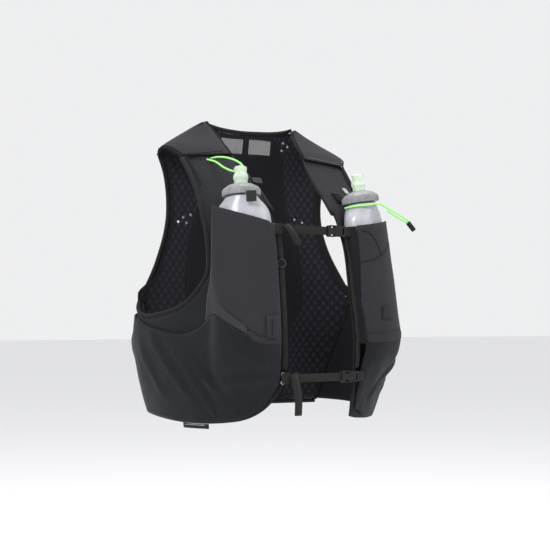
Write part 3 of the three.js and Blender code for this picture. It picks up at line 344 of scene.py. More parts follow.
# Materials. Coordinates come from each piece's own surface, in millimetres, through its UV map
class Paint:
    """A material's node tree with short names for the nodes that it needs."""

    def __init__(self, name, roughness):
        self.material = bpy.data.materials.new(name)
        self.material.use_nodes = True
        self.tree = self.material.node_tree
        self.shader = self.tree.nodes["Principled BSDF"]
        self.look(Roughness=roughness, Specular_IOR_Level=0.22 if roughness > 0.5 else 0.45)

    def look(self, **values):
        """Sets the shader's inputs, with underscores for the spaces in their names."""
        for key, value in values.items():
            self.shader.inputs[key.replace("_", " ")].default_value = value

    def node(self, kind, **values):
        node = self.tree.nodes.new(kind)
        for key, value in values.items():
            if hasattr(node, key):
                setattr(node, key, value)
            else:
                node.inputs[key.replace("_", " ")].default_value = value
        return node

    def link(self, a, b):
        self.tree.links.new(a, b)

    def put(self, socket, value):
        """Sets a number or a colour, or links a socket."""
        if isinstance(value, (int, float)):
            socket.default_value = value
        elif isinstance(value, tuple):
            socket.default_value = (*value, 1)
        else:
            self.link(value, socket)

    def math(self, operation, a, b=0.0, c=0.0):
        node = self.node("ShaderNodeMath", operation=operation)
        self.put(node.inputs[0], a)
        self.put(node.inputs[1], b)
        self.put(node.inputs[2], c)
        return node.outputs[0]

    def times(self, a, b, plus=None):
        return self.math("MULTIPLY", a, b) if plus is None else self.math("MULTIPLY_ADD", a, b, plus)

    def split(self, vector):
        node = self.node("ShaderNodeSeparateXYZ")
        self.link(vector, node.inputs[0])
        return node.outputs

    def surface(self):
        """U and V of the piece's surface in millimetres."""
        return self.split(self.node("ShaderNodeTexCoord").outputs["UV"])[:2]

    def place(self):
        return self.node("ShaderNodeTexCoord").outputs["Object"]

    def noise(self, vector, scale, detail=3.0, roughness=0.55):
        node = self.node("ShaderNodeTexNoise", Scale=scale, Detail=detail, Roughness=roughness)
        self.link(vector, node.inputs["Vector"])
        return node.outputs["Fac"]

    def wave(self, value, period):
        """0 to 1 over each period."""
        turn = self.times(value, 2 * math.pi / period)
        return self.times(self.math("SINE", turn), 0.5, 0.5)

    def hexagons(self, u, v, pitch):
        """Peaks of 1 on a hexagonal lattice."""
        a = self.math("COSINE", self.math("MULTIPLY", u, 2 * math.pi / pitch))
        b = self.math("COSINE", self.math("MULTIPLY", v, 2 * math.pi / (pitch * 3**0.5)))
        return self.math("MULTIPLY", a, b)

    def ramp(self, value, low, high):
        node = self.node("ShaderNodeMapRange", From_Min=low, From_Max=high)
        self.link(value, node.inputs["Value"])
        return node.outputs[0]

    def blend(self, factor, a, b):
        """From colour a to colour b."""
        node = self.node("ShaderNodeMix", data_type="RGBA")
        self.put(node.inputs["Factor"], factor)
        self.put(node.inputs["A"], a)
        self.put(node.inputs["B"], b)
        return node.outputs["Result"]

    def finish(self, colour, height=None, depth=0.3, roughness=None):
        """depth is the height of the relief in millimetres."""
        self.link(colour, self.shader.inputs["Base Color"])
        if roughness is not None:
            self.link(roughness, self.shader.inputs["Roughness"])
        if height is not None:
            bump = self.node("ShaderNodeBump", Strength=1.0, Distance=depth * MM)
            self.put(bump.inputs["Height"], height)
            self.link(bump.outputs["Normal"], self.shader.inputs["Normal"])
        return self.material


def sheen(paint, weight, tint=(0.75, 0.77, 0.85)):
    paint.look(Sheen_Weight=weight, Sheen_Roughness=0.4, Sheen_Tint=(*tint, 1))


def knit(name, dark, light, gloss=0.25, rib=0.9):
    """Smooth stretch knit: fine ribs along V, crossed by finer courses, with a slight heather."""
    p = Paint(name, 0.78)
    u, v = p.surface()
    ribs = p.wave(u, rib)
    courses = p.wave(v, rib * 0.7)
    weave = p.times(ribs, p.times(courses, 0.5, 0.5))
    heather = p.noise(p.place(), 900, 2)
    wear = p.noise(p.place(), 22, 4)
    factor = p.times(weave, 0.42, p.times(heather, 0.45))
    base = p.blend(factor, dark, light)
    colour = p.blend(p.times(p.ramp(wear, 0.5, 0.8), 0.22), base, light)
    sheen(p, gloss)
    height = p.times(weave, 0.7, p.times(heather, 0.3))
    return p.finish(colour, height, 0.16)


# Colours of the back's smooth middle band
BAND_DARK, BAND_LIGHT = (0.0014, 0.0012, 0.0026), (0.0052, 0.0048, 0.008)


def mesh_cloth(name, dark, light, pitch=2.6, hole=0.35, relief=0.45, dimple=0.0):
    """Perforated stretch mesh: holes on a hexagonal lattice. dimple is the pitch of a larger lattice of
    raised dimples, whose tops carry a painted highlight.
    """
    p = Paint(name, 0.82)
    u, v = p.surface()
    peaks = p.hexagons(u, v, pitch)
    holes = p.ramp(peaks, hole, hole + 0.3)
    ribs = p.wave(u, 0.65)
    mottle = p.noise(p.place(), 60, 4)
    fine = p.noise(p.place(), 700, 2)
    factor = p.times(mottle, 0.5, p.times(fine, 0.35))
    base = p.blend(factor, dark, light)
    colour = p.blend(p.times(holes, 0.75), base, tuple(c * 0.25 for c in dark))
    height = p.math("SUBTRACT", p.times(ribs, 0.12), holes)
    if dimple:
        large = p.hexagons(u, v, dimple)
        band = p.node("ShaderNodeAttribute", attribute_name="band")
        outside = p.ramp(band.outputs["Fac"], -0.5, 0.5)
        # Painted highlight: the raised tops of the larger lattice are painted lighter, following the relief
        dimple_painted_highlight = tuple(c * 2.4 for c in light)
        colour = p.blend(p.times(p.ramp(large, 0.0, 0.8), 0.75), colour, dimple_painted_highlight)
        height = p.times(p.ramp(large, -0.6, 0.9), 1.6, height)
        height = p.times(height, outside)
        plain = p.blend(p.times(fine, 0.8), BAND_DARK, BAND_LIGHT)
        colour = p.blend(outside, plain, colour)
    sheen(p, 0.12)
    return p.finish(colour, height, relief)


def webbing(name, dark, light, rib=1.3):
    """Woven webbing: a herringbone of ribs across its length V, with raised edges."""
    p = Paint(name, 0.75)
    u, v = p.surface()
    zigzag = p.math("PINGPONG", u, 1.6)
    ribs = p.wave(p.math("ADD", v, zigzag), rib)
    yarn = p.wave(u, 0.55)
    weave = p.times(ribs, p.times(yarn, 0.4, 0.6))
    fuzz = p.noise(p.place(), 800, 2)
    colour = p.blend(p.times(weave, 0.6, p.times(fuzz, 0.35)), dark, light)
    sheen(p, 0.08)
    return p.finish(colour, weave, 0.22)


def plastic(name, colour, roughness=0.42, grain=0.05, light=1.35):
    p = Paint(name, roughness)
    fine = p.noise(p.place(), 1400, 3)
    scuff = p.noise(p.place(), 70, 6, 0.7)
    worn = tuple(min(1, c * light + 0.01) for c in colour)
    shade = p.blend(p.ramp(scuff, 0.35, 0.75), colour, worn)
    rough = p.times(p.ramp(scuff, 0.3, 0.8), 0.16, roughness)
    return p.finish(shade, fine, grain, rough)


def clear_plastic(name, colour, through, roughness, depth):
    """Milky film or moulding: part of the light goes through, with faint ripples and haze."""
    p = Paint(name, roughness)
    p.look(Transmission_Weight=through, IOR=1.35, Coat_Weight=0.25)
    p.look(Subsurface_Weight=0.25, Subsurface_Radius=(0.006, 0.006, 0.007))
    haze = p.noise(p.place(), 26, 5, 0.6)
    fine = p.noise(p.place(), 240, 3)
    deep = tuple(c * 0.72 for c in colour)
    shade = p.blend(p.ramp(haze, 0.3, 0.75), deep, colour)
    height = p.times(haze, 0.8, p.times(fine, 0.2))
    return p.finish(shade, height, depth, p.times(haze, 0.25, roughness - 0.1))


def braid(name, dark, light):
    p = Paint(name, 0.6)
    x, y, z = p.split(p.place())
    a = p.wave(p.times(p.math("ADD", x, z), 1000), 1.1)
    b = p.wave(p.times(p.math("SUBTRACT", y, z), 1000), 1.1)
    weave = p.math("MAXIMUM", a, b)
    sheen(p, 0.2, (0.9, 1, 0.85))
    return p.finish(p.blend(p.times(weave, 0.9), dark, light), weave, 0.16)


PAINTS = {
    "mesh": mesh_cloth("mesh", (0.0013, 0.0017, 0.0028), (0.0066, 0.0076, 0.0105)),
    "back": mesh_cloth("back_mesh", (0.0018, 0.0016, 0.0034), (0.0085, 0.0078, 0.0135),
                       relief=0.5, dimple=8.5),
    "panel": knit("elastic_knit", (0.0016, 0.0016, 0.0026), (0.006, 0.006, 0.0085), 0.05),
    "smooth": knit("smooth_knit", (0.0072, 0.0066, 0.0088), (0.023, 0.0215, 0.027), 0.07),
    "yoke": knit("yoke_knit", (0.0056, 0.0054, 0.0075), (0.018, 0.017, 0.0225), 0.06, 0.7),
    "binding": knit("binding_rib", (0.0015, 0.0015, 0.002), (0.0068, 0.0068, 0.0085), 0.04, 1.1),
    "webbing": webbing("webbing", (0.003, 0.0032, 0.0028), (0.0155, 0.016, 0.0135)),
    "reflective": webbing("reflective_tape", (0.16, 0.165, 0.17), (0.5, 0.51, 0.52), 2.0),
    "hard": plastic("hard_plastic", (0.0024, 0.0026, 0.003), 0.55),
    "light": plastic("light_plastic", (0.32, 0.33, 0.35), 0.35),
    "piping": plastic("piping", (0.055, 0.057, 0.064), 0.6),
    "tape": webbing("elastic_tape", (0.0075, 0.0075, 0.009), (0.036, 0.036, 0.041), 1.8),
    "net": plastic("net", (0.020, 0.020, 0.022), 0.8),
    "thread": plastic("thread", (0.017, 0.017, 0.021), 0.7),
    "cord": braid("cord_braid", (0.13, 0.48, 0.07), (0.40, 0.86, 0.26)),
    "valve": clear_plastic("valve", (0.70, 0.82, 0.66), 0.35, 0.32, 0.2),
    "cap": clear_plastic("cap", (0.33, 0.335, 0.34), 0.3, 0.35, 0.15),
    "floor": plastic("floor", (0.86, 0.86, 0.87), 0.8, 0.0, 1.02),
    "flask": clear_plastic("flask_film", (0.56, 0.565, 0.61), 0.35, 0.26, 0.9),
}

# Outward direction: the body's middle, and where and how far it turns up over the shoulders
MIDDLE_Y, SHOULDER_START, SHOULDER_DEEP, SHOULDER_LIFT = -62, -95, 90, 0.85
# Unrolled front: its middle, and millimetres to a degree
UNROLL_Y, DEGREE_WIDTH = -5, 2.6


# Soft pieces: each is made from its frame node's own surface, smoothed, folded and given its cloth
def stand_out(p):
    """Unit direction away from the worn body, smooth over the whole vest. p in millimetres."""
    level_part = Vector((p.x, p.y - MIDDLE_Y, 0)).normalized()
    lift = smooth((p.z - SHOULDER_START) / SHOULDER_DEEP) * SHOULDER_LIFT
    return level_part.lerp(Vector((0, 0, 1)), lift).normalized()


def line_distance(p, a, b):
    """Distance from a line of the surface in millimetres, signed, and how far along it the point lies."""
    along = b - a
    share = clamp((p - a).dot(along) / along.length_squared)
    off = p - a - along * share
    side = 1 if off.dot(Vector((-along.y, along.x))) > 0 else -1
    return side * off.length, share


def unrolled(p):
    """The point's place on the unrolled front in millimetres: round from the front, and down."""
    return Vector((math.degrees(math.atan2(abs(p.x), -(p.y - UNROLL_Y))) * DEGREE_WIDTH, -p.z))


# Folds of the lower pockets: side, first and second end as degrees from the front and share of the
# height, height and width of the fold in millimetres, which the two factors below scale
FOLDS = [
    (-1, 77.1, 0.687, 49.8, 0.945, 1.9, 5.5), (-1, 61.2, 0.736, 45, 0.937, 1.7, 5),
    (-1, 57.8, 0.748, 38.5, 0.915, 1.8, 5.5), (-1, 43.1, 0.864, 16.1, 0.843, 1.6, 6),
    (-1, 44.9, 0.929, 43.5, 0.959, 1.2, 3), (-1, 35.7, 0.949, 31.5, 0.961, 1.2, 3),
    (-1, 38.7, 0.72, 18.4, 0.82, 1.3, 5), (-1, 84, 0.72, 66, 0.93, 1.2, 5.5),
    (1, 50, 0.76, 36, 0.93, 1.5, 5), (1, 66, 0.74, 50, 0.93, 1.4, 5.5), (1, 82, 0.72, 66, 0.9, 1.2, 5),
]
FOLD_RISE, FOLD_WIDTH = 1.5, 0.85
folds = []
for side, angle_a, down_a, angle_b, down_b, rise, width in FOLDS:
    first = unrolled(form_point(side * angle_a, -HEIGHT * down_a))
    second = unrolled(form_point(side * angle_b, -HEIGHT * down_b))
    folds.append((side, first, second, rise * FOLD_RISE, width * FOLD_WIDTH))


def pocket_folds(p):
    total = 0.0
    here = unrolled(p)
    for side, a, b, rise, width in folds:
        if p.x * side <= 0:
            continue
        off, share = line_distance(here, a, b)
        fade = smooth(share / 0.25) * smooth((1 - share) / 0.25) * 0.85 + 0.15
        ridge = math.exp(-((off / width) ** 2))
        hollow = math.exp(-(((off - 1.7 * width) / width) ** 2))
        total += rise * fade * (ridge - 0.6 * hollow)
    return total


def worn(p):
    """Slow unevenness shared by every soft piece, so that pieces that touch stay together."""
    return wrinkle(p, 52, 0.55) + wrinkle(p, 23, 0.22, 3.7)


# Degrees: triangles joined into quads, and edges that count as a rim
JOIN_ANGLE, SHAPE_ANGLE, RIM_ANGLE = 38, 170, 50
# Middle and radius of the unrolled back and front for the UV maps, in millimetres
BACK_MIDDLE, BACK_RADIUS, FRONT_MIDDLE, FRONT_RADIUS = -60, 130, -20, 150
cloth = {}


def soft_copy(node, paint, levels=2, extra=None, crease=1.0, shared=True, fat=0.0):
    """The node's surface, smoothed. fat is how far it swells, in millimetres."""
    bm = bmesh.new()
    bm.from_mesh(nodes[node].data)
    bmesh.ops.remove_doubles(bm, verts=bm.verts, dist=2e-6)
    bmesh.ops.join_triangles(bm, faces=bm.faces, angle_face_threshold=math.radians(JOIN_ANGLE),
                             angle_shape_threshold=math.radians(SHAPE_ANGLE))
    layer = bm.edges.layers.float.new("crease_edge")
    for edge in bm.edges:
        if len(edge.link_faces) == 2 and edge.calc_face_angle() > math.radians(RIM_ANGLE):
            edge[layer] = crease
    mesh = bpy.data.meshes.new(node + "_soft")
    bm.to_mesh(mesh)
    bm.free()
    obj = add(node + "_soft", mesh)
    modifier = obj.modifiers.new("smooth", "SUBSURF")
    modifier.levels = modifier.render_levels = levels
    modifier.boundary_smooth = "PRESERVE_CORNERS"
    bpy.context.view_layer.update()
    graph = bpy.context.evaluated_depsgraph_get()
    mesh = bpy.data.meshes.new_from_object(obj.evaluated_get(graph))
    obj.modifiers.clear()
    obj.data = mesh
    mesh.materials.clear()
    mesh.materials.append(PAINTS[paint])
    swell = [vertex.normal * fat for vertex in mesh.vertices]
    for vertex in mesh.vertices:
        p = vertex.co / MM
        rise = (worn(p) if shared else 0) + (extra(p) if extra else 0)
        vertex.co = (p + stand_out(p) * rise + swell[vertex.index]) * MM
    mesh.shade_smooth()
    layer = mesh.uv_layers[0] if mesh.uv_layers else mesh.uv_layers.new(name="UVMap")
    for loop in mesh.loops:
        p = mesh.vertices[loop.vertex_index].co / MM
        if node == "back_panel":
            uv = (math.atan2(p.x, p.y - BACK_MIDDLE) * BACK_RADIUS, -p.z)
        elif "yoke" in node:
            uv = (p.x, p.y * 1.2)
        else:
            uv = (math.atan2(p.x, -(p.y - FRONT_MIDDLE)) * FRONT_RADIUS, -p.z - 0.5 * p.y)
        layer.data[loop.index].uv = uv
    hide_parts(node)
    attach(obj, "vest")
    cloth[node] = obj
    return obj


def strip_uvs(obj, axis):
    """U across and V along a webbing strip. axis is its long direction."""
    along = Vector(axis).normalized()
    layer = obj.data.uv_layers[0]
    for polygon in obj.data.polygons:
        across = along.cross(polygon.normal)
        across = across.normalized() if across.length > 0.2 else Vector((0, 0, 1))
        for index in polygon.loop_indices:
            p = obj.data.vertices[obj.data.loops[index].vertex_index].co / MM
            layer.data[index].uv = (p.dot(across), p.dot(along))


# The back's smooth middle band, as half width at each height, in millimetres
BAND = [
    (0, 30), (36, 56), (72, 62), (107, 67), (153, 82), (198, 88), (251, 88), (283, 69), (330, 60), (400, 55),
]


def mark_band(obj):
    """Signed distance from the middle band's edge, in millimetres, kept for the material."""
    marks = obj.data.attributes.new("band", "FLOAT", "POINT")
    for vertex in obj.data.vertices:
        p = vertex.co / MM
        marks.data[vertex.index].value = abs(p.x) - read(BAND, -p.z)


def film(p):
    """The flasks' soft film, a little uneven."""
    return wrinkle(p, 26, 0.5, 9) + wrinkle(p, 11, 0.18, 5)


ACROSS, UPRIGHT = (1, 0, 0), (0, 0, 1)
BINDING_FAT = 0.95
back = soft_copy("back_panel", "back")
mark_band(back)
for side, name in SIDE_NAME.items():
    soft_copy(name + "_yoke", "yoke")
    soft_copy(name + "_front_panel", "mesh" if side < 0 else "panel")
    soft_copy(name + "_bottle_pocket", "smooth")
    soft_copy(name + "_lower_pocket", "mesh", extra=pocket_folds)
    soft_copy(name + "_pocket_band", "tape")
    soft_copy(name + "_armhole_binding", "binding", fat=BINDING_FAT)
    strip_uvs(soft_copy(name + "_rail", "webbing"), UPRIGHT)
for name in ("neck_binding", "back_hem_binding"):
    soft_copy(name, "binding", fat=BINDING_FAT)
STRIPS = {"zip_pocket": UPRIGHT, "side_tab": ACROSS, "hem_tab": UPRIGHT}
for strap in ("upper_strap", "lower_strap"):
    for part in ("anchor", "webbing", "left_anchor", "tail"):
        STRIPS[f"{strap}_{part}"] = UPRIGHT if part == "tail" else ACROSS
for name, axis in STRIPS.items():
    paint = "smooth" if name == "zip_pocket" else "webbing"
    strip_uvs(soft_copy(name, paint, 1, crease=0.9, shared=False), axis)
for name in ("right", "left"):
    soft_copy(name + "_flask_body", "flask", extra=film, shared=False, crease=0.3)

# Hard pieces keep the frame's own shape: their paint, and how far their edges are rounded in millimetres
HARD = {
    "right_cap_tab": ("hard", 0.3), "right_pull_tab": ("hard", 0.5), "strap_clip": ("hard", 0.3),
    "strap_reflector": ("reflective", 0.2), "upper_snap": ("light", 0.3), "lower_snap": ("light", 0.3),
    "rail_hook_loop": ("thread", 0), "left_cord_end": ("hard", 0.6),
}
for name in ("right", "left"):
    HARD[name + "_flask_cap"] = ("cap", 0.6)
    HARD[name + "_bite_valve"] = ("valve", 0.8)
for strap in ("upper_strap", "lower_strap"):
    HARD[strap + "_slider"] = ("hard", 0.4)
    HARD[strap + "_buckle_socket"] = ("hard", 0.7)
    HARD[strap + "_buckle_plug"] = ("hard", 0.5)
for name, (paint, round_by) in HARD.items():
    node = nodes[name]
    node.data.materials.clear()
    node.data.materials.append(PAINTS[paint])
    if round_by:
        bevel = node.modifiers.new("round", "BEVEL")
        bevel.width = round_by * MM
        bevel.segments = 3
        bevel.limit_method = "ANGLE"
        bevel.angle_limit = math.radians(40)
        node.data.shade_smooth()


def mesh_piece(name, vertices, faces, paint, body="vest", smooth_shaded=True):
    """A piece of the scene's own, which rides on a body."""
    mesh = bpy.data.meshes.new(name)
    mesh.from_pydata([tuple(v) for v in vertices], [], faces)
    mesh.materials.append(PAINTS[paint])
    if smooth_shaded:
        mesh.shade_smooth()
    obj = add(name, mesh)
    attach(obj, body)
    return obj


def tree_of(*objects):
    """Search tree over several pieces' surfaces."""
    vertices, polygons = [], []
    for obj in objects:
        start = len(vertices)
        vertices += [v.co.copy() for v in obj.data.vertices]
        polygons += [[start + i for i in polygon.vertices] for polygon in obj.data.polygons]
    return BVHTree.FromPolygons(vertices, polygons)


def lay(points, tree, away=stand_out, reach=12):
    """Points in millimetres moved onto the surface from away's side: places and normals in metres."""
    placed = []
    for p in points:
        out = away(p)
        hit, normal, _, _ = tree.ray_cast((p + out * reach) * MM, -out, 2 * reach * MM)
        if hit is not None:
            placed.append((hit, normal if normal.dot(out) > 0 else -normal))
    return placed


# Faces of one thread: two pointed ends, a ridge between two sides, and the sunk middle below
THREAD_FACES = (
    (0, 2, 1), (0, 3, 2), (1, 2, 5, 4), (2, 3, 6, 5), (4, 5, 7), (5, 6, 7),
    (0, 1, 8), (1, 4, 8), (4, 7, 8), (7, 6, 8), (6, 3, 8), (3, 0, 8),
)


def stitched(name, points, tree, away=stand_out, step=2.8, share=0.68, width=0.45, proud=0.28):
    """Short raised threads, one after another, along the points laid on the surface."""
    placed = lay(points, tree, away)
    if len(placed) < 2:
        return
    vertices, faces = [], []
    travelled, next_start = 0.0, 0.0
    for (a, na), (b, nb) in zip(placed, placed[1:]):
        span = (b - a).length / MM
        if span < 1e-6 or span > 30:
            travelled += span
            next_start = max(next_start, travelled)
            continue
        along = (b - a).normalized()
        while next_start < travelled + span:
            t = (next_start - travelled) / span
            middle = a.lerp(b, t)
            normal = na.lerp(nb, t).normalized()
            across = normal.cross(along).normalized()
            half = along * step * share / 2 * MM
            back_end, front_end = middle - half * 0.4, middle + half * 0.4
            side = across * width / 2 * MM
            ridge = normal * proud * MM
            start = len(vertices)
            vertices += [
                middle - half, back_end + side, back_end + ridge, back_end - side,
                front_end + side, front_end + ridge, front_end - side, middle + half,
                middle - normal * 0.15 * MM,
            ]
            faces += [[start + i for i in face] for face in THREAD_FACES]
            next_start += step
        travelled += span
    mesh_piece(name, vertices, faces, "thread")


def from_table(side, rows, steps, shift=0.0):
    """Surface points along rows of (degrees, share of the height)."""
    angles = stops(rows[0][0], rows[-1][0], steps)
    return [form_point(side * angle, level(rows, angle) + shift) for angle in angles]


def inward(p):
    return -stand_out(p)


def moved(points, rise):
    return [p + Vector((0, 0, rise)) for p in points]


# How far the stitch rows lie from their edges, in millimetres, or in degrees beside the arm and the seam
MOUTH_STITCH, POCKET_STITCH, HEM_STITCH, ARM_STITCH, SEAM_STITCH = 2.4, 3.2, 5.0, 3.6, 1.6
HEM_ROWS, BACK_HEM_ROWS, BACK_HEM = 2.2, 3, -378
for side, name in SIDE_NAME.items():
    parts = ("_front_panel", "_bottle_pocket", "_lower_pocket", "_yoke")
    front = tree_of(*(cloth[name + part] for part in parts))
    mouth = from_table(side, MOUTH[side], 60, -MOUTH_STITCH)
    stitched(name + "_mouth_stitches", mouth, front)
    stitched(name + "_mouth_stitches_low", moved(mouth, -MOUTH_STITCH), front)
    top = from_table(side, POCKET_TOP[side], 120, -POCKET_STITCH)
    stitched(name + "_pocket_stitches", top, front)
    hem = from_table(side, HEM[side], 120, HEM_STITCH)
    stitched(name + "_hem_stitches", hem, front)
    stitched(name + "_hem_stitches_high", moved(hem, HEM_ROWS), front)
    edge = [form_point(side * (arm_angle(z) - ARM_STITCH), z) for z in stops(-60, -205, 90)]
    stitched(name + "_arm_stitches", edge, front)
    seam = [form_point(side * (seam_angle(z) - SEAM_STITCH), z) for z in stops(-243, BACK_HEM, 80)]
    stitched(name + "_side_stitches", seam, front)

back_tree = tree_of(back)
for side in (-1, 1):
    for gap in (-1.6, 1.6):
        line = []
        for z in stops(-36, -388, 150):
            x = side * (read(BAND, -z) + gap)
            angle = 180 - abs(math.degrees(math.asin(clamp(x / HALF, -0.99, 0.99))))
            line.append(form_point(angle, z))
            line[-1].x = x
        stitched(f"band_stitches_{side}_{gap}", line, back_tree, inward)
hem_line = [form_point(angle, BACK_HEM) for angle in stops(108, 252, 150)]
for rise in (0, BACK_HEM_ROWS):
    stitched(f"back_hem_stitches_{rise}", moved(hem_line, rise), back_tree, inward)


# Where each of a ribbon's six corners lies across it, and how far apart its rows are on the UV map
RIBBON_ACROSS = (0, 0.1, 0.5, 0.9, 1, 0.5)
RIBBON_ROW = 2.5


def ribbon(name, placed, width, thick=0.8, paint="binding", slot="binding"):
    """Flat tape with a slightly crowned face along a laid line."""
    vertices, faces = [], []
    for i, (p, normal) in enumerate(placed):
        along = (placed[min(i + 1, len(placed) - 1)][0] - placed[max(i - 1, 0)][0]).normalized()
        across = normal.cross(along).normalized() * width / 2 * MM
        rise = normal * thick * MM
        vertices += [p - across, p - across * 0.8 + rise * 0.8, p + rise]
        vertices += [p + across * 0.8 + rise * 0.8, p + across, p - rise * 0.3]
    for i in range(len(placed) - 1):
        for k in range(6):
            a, b = 6 * i + k, 6 * i + (k + 1) % 6
            faces.append((a, b, b + 6, a + 6))
    last = 6 * (len(placed) - 1)
    faces += [tuple(range(6))[::-1], tuple(range(last, last + 6))]
    mesh = mesh_piece(name, vertices, faces, paint).data
    layer = mesh.uv_layers.new(name="UVMap")
    for loop in mesh.loops:
        row, k = divmod(loop.vertex_index, 6)
        layer.data[loop.index].uv = (RIBBON_ACROSS[k] * width, row * RIBBON_ROW)


# How far the tapes lie from the form on the inside and the outside of the cloth, in millimetres
INNER_LIFT, OUTER_LIFT = -2.4, 0.15


def row_of(points, away, lift):
    return [((p + stand_out(p) * (worn(p) + lift)) * MM, stand_out(p) * away) for p in points]


# Tapes over the side seams, on both faces
for side, name in SIDE_NAME.items():
    seam = [form_point(side * (seam_angle(z) + 0.3), z) for z in stops(-242, -379, 70)]
    ribbon(name + "_side_tape_in", row_of(seam, -1, -2.3), 6.5, 0.7)
    ribbon(name + "_side_tape_out", row_of(seam, 1, 0.1), 6.5, 0.7)


# Side walls of the bottle pockets, round the flask from the pocket's inner edge to the strap behind it
def round_flask(side, p, clear=1.05):
    """The point moved out of the flask's section at its level, if it lies inside."""
    flask = FLASKS[side]
    off = p - flask.axis(p.z)
    wide = off.dot(flask.across) / (FLASK["width"] / 2)
    deep = off.dot(flask.normal) / (FLASK["thick"] / 2)
    size = math.hypot(wide, deep)
    if 0.2 < size < clear and p.z > -(FLASK["top"] + FLASK["height"] + 6):
        outline = flask.across * wide * FLASK["width"] / 2 + flask.normal * deep * FLASK["thick"] / 2
        off = off + outline * (clear / size - 1)
    return flask.axis(p.z) + off


def gusset(side, name):
    rows, columns = 46, 12
    top = level(MOUTH[side], FIRST_KEY) - 0.5
    bottom = level(POCKET_TOP[side], FIRST_KEY) - 3
    points = []
    for z in stops(top, bottom, rows):
        inner = inner_angle(side, z)
        front_edge = front_cloth(side, inner + degrees_of(side, z, RAIL_WIDTH[side] + 1.1), z, True, 0.2)
        behind = front_cloth(side, inner + degrees_of(side, z, RAIL_WIDTH[side] + 0.4), z, False)
        row = []
        for t in spread(columns):
            p = front_edge.lerp(behind, t)
            row.append(round_flask(side, p) + stand_out(p) * worn(p))
        points.append(row)
    vertices, faces, uvs = [], [], []
    toward = -FLASKS[side].across * side
    for face in (0, 1):
        for i, row in enumerate(points):
            for j, p in enumerate(row):
                vertices.append((p + toward * 0.9 * face) * MM)
                uvs.append((j * 2.4, i * 3.6))
    wide, size = columns + 1, (rows + 1) * (columns + 1)
    for i in range(rows):
        for j in range(columns):
            a, b = i * wide + j, (i + 1) * wide + j
            faces += [(a, b, b + 1, a + 1), (size + a, size + a + 1, size + b + 1, size + b)]
    ring = list(range(wide)) + [i * wide + columns for i in range(1, rows + 1)]
    ring += [rows * wide + j for j in range(columns - 1, -1, -1)]
    ring += [i * wide for i in range(rows - 1, 0, -1)]
    for a, b in zip(ring, ring[1:] + ring[:1]):
        faces.append((a, b, size + b, size + a))
    mesh = mesh_piece(name, vertices, faces, "smooth" if side < 0 else "panel").data
    bm = bmesh.new()
    bm.from_mesh(mesh)
    bmesh.ops.recalc_face_normals(bm, faces=bm.faces)
    bm.to_mesh(mesh)
    bm.free()
    layer = mesh.uv_layers.new(name="UVMap")
    for loop in mesh.loops:
        layer.data[loop.index].uv = uvs[loop.vertex_index]


# Facings along the arm openings' back edges and the yokes' back seams, and tapes where the two pockets meet
def back_edge(side, z):
    x = min(read(ARM_BACK, -z / HEIGHT) * HALF, read(SECTIONS, -z) * 0.998) - 2.5
    return form_point(side * abs(angle_at(x, z, True)), z)


def yoke_seam(side, at):
    z_neck, z_arm = -DROP * read(YOKE, at, NECK_DOWN), -DROP * read(YOKE, at, ARM_DOWN)
    angles = read(YOKE, at, NECK_ANGLE), read(YOKE, at, ARM_ANGLE)
    return [form_point(side * mix(*angles, t), mix(z_neck, z_arm, t)) for t in spread(40)]


def yoke_edge(side, angle, down):
    """The yoke's edge at the neck or the arm, by the columns of its angle and its height."""
    return [form_point(side * read(YOKE, t, angle), -DROP * read(YOKE, t, down)) for t in spread(40)]


def facing(name, points, width):
    """Tape along an edge, on the inside of the cloth."""
    ribbon(name, row_of(points, -1, INNER_LIFT), width)


# Tape where the two pockets meet: its last key, its rise over the lower pocket's top, and its width
MEETING = {-1: (27, 2, 7.5), 1: (46, 3.5, 11)}
for side, name in SIDE_NAME.items():
    edge = [back_edge(side, z) for z in stops(-38, -236, 80)]
    edge += [form_point(side * (seam_angle(z) + 1), z) for z in (-240, -244, -248)]
    seam = yoke_seam(side, 1)
    for face, away, lift in (("in", -1, INNER_LIFT), ("out", 1, OUTER_LIFT)):
        ribbon(f"{name}_arm_facing_{face}", row_of(edge, away, lift), 13)
        ribbon(f"{name}_yoke_tape_{face}", row_of(seam, away, lift), 15)
    gusset(side, name + "_pocket_side")
    last, rise, width = MEETING[side]
    meeting = []
    for key in stops(FIRST_KEY, last, 40):
        meeting.append(pocket_point(side, key, level(POCKET_TOP[side], key) + rise, 0.9))
    ribbon(name + "_meeting_tape", row_of(meeting, 1, 0), width, 0.8, "smooth")
    facing(name + "_yoke_front_tape", yoke_seam(side, 0), 12)
    facing(name + "_yoke_arm_facing", yoke_edge(side, ARM_ANGLE, ARM_DOWN), 9)
    neck = yoke_edge(side, NECK_ANGLE, NECK_DOWN)
    for t in spread(8):
        z = mix(-3.5, -7.5, t)
        neck.append(form_point(side * abs(angle_at(mix(64, 46, t), z, True)), z))
    facing(name + "_neck_facing", neck, 8)
    strap = [form_point(side * arm_angle(z), z) for z in stops(-52, -100, 30)]
    facing(name + "_strap_facing", strap, 8)

# Seams of the left bottle pocket: its second edge and the arc above it, by degrees and share of the height
LEFT_POCKET_SEAMS = {
    "second_edge": [(22.5, 0.492), (27.5, 0.484), (33, 0.468), (38.7, 0.445), (43, 0.425)],
    "arc": [(22.5, 0.395), (26.5, 0.402), (29.5, 0.42), (32.3, 0.452), (33.2, 0.466)],
}
left_pocket_tree = tree_of(cloth["left_bottle_pocket"])
for name, rows in LEFT_POCKET_SEAMS.items():
    angles = stops(rows[0][0], rows[-1][0], 40)
    line = [front_cloth(1, angle, level(rows, angle), True, 1) for angle in angles]
    laid = lay(line, left_pocket_tree, lambda p: FLASKS[1].normal)
    ribbon("left_pocket_" + name, laid, 1.8, 0.7)

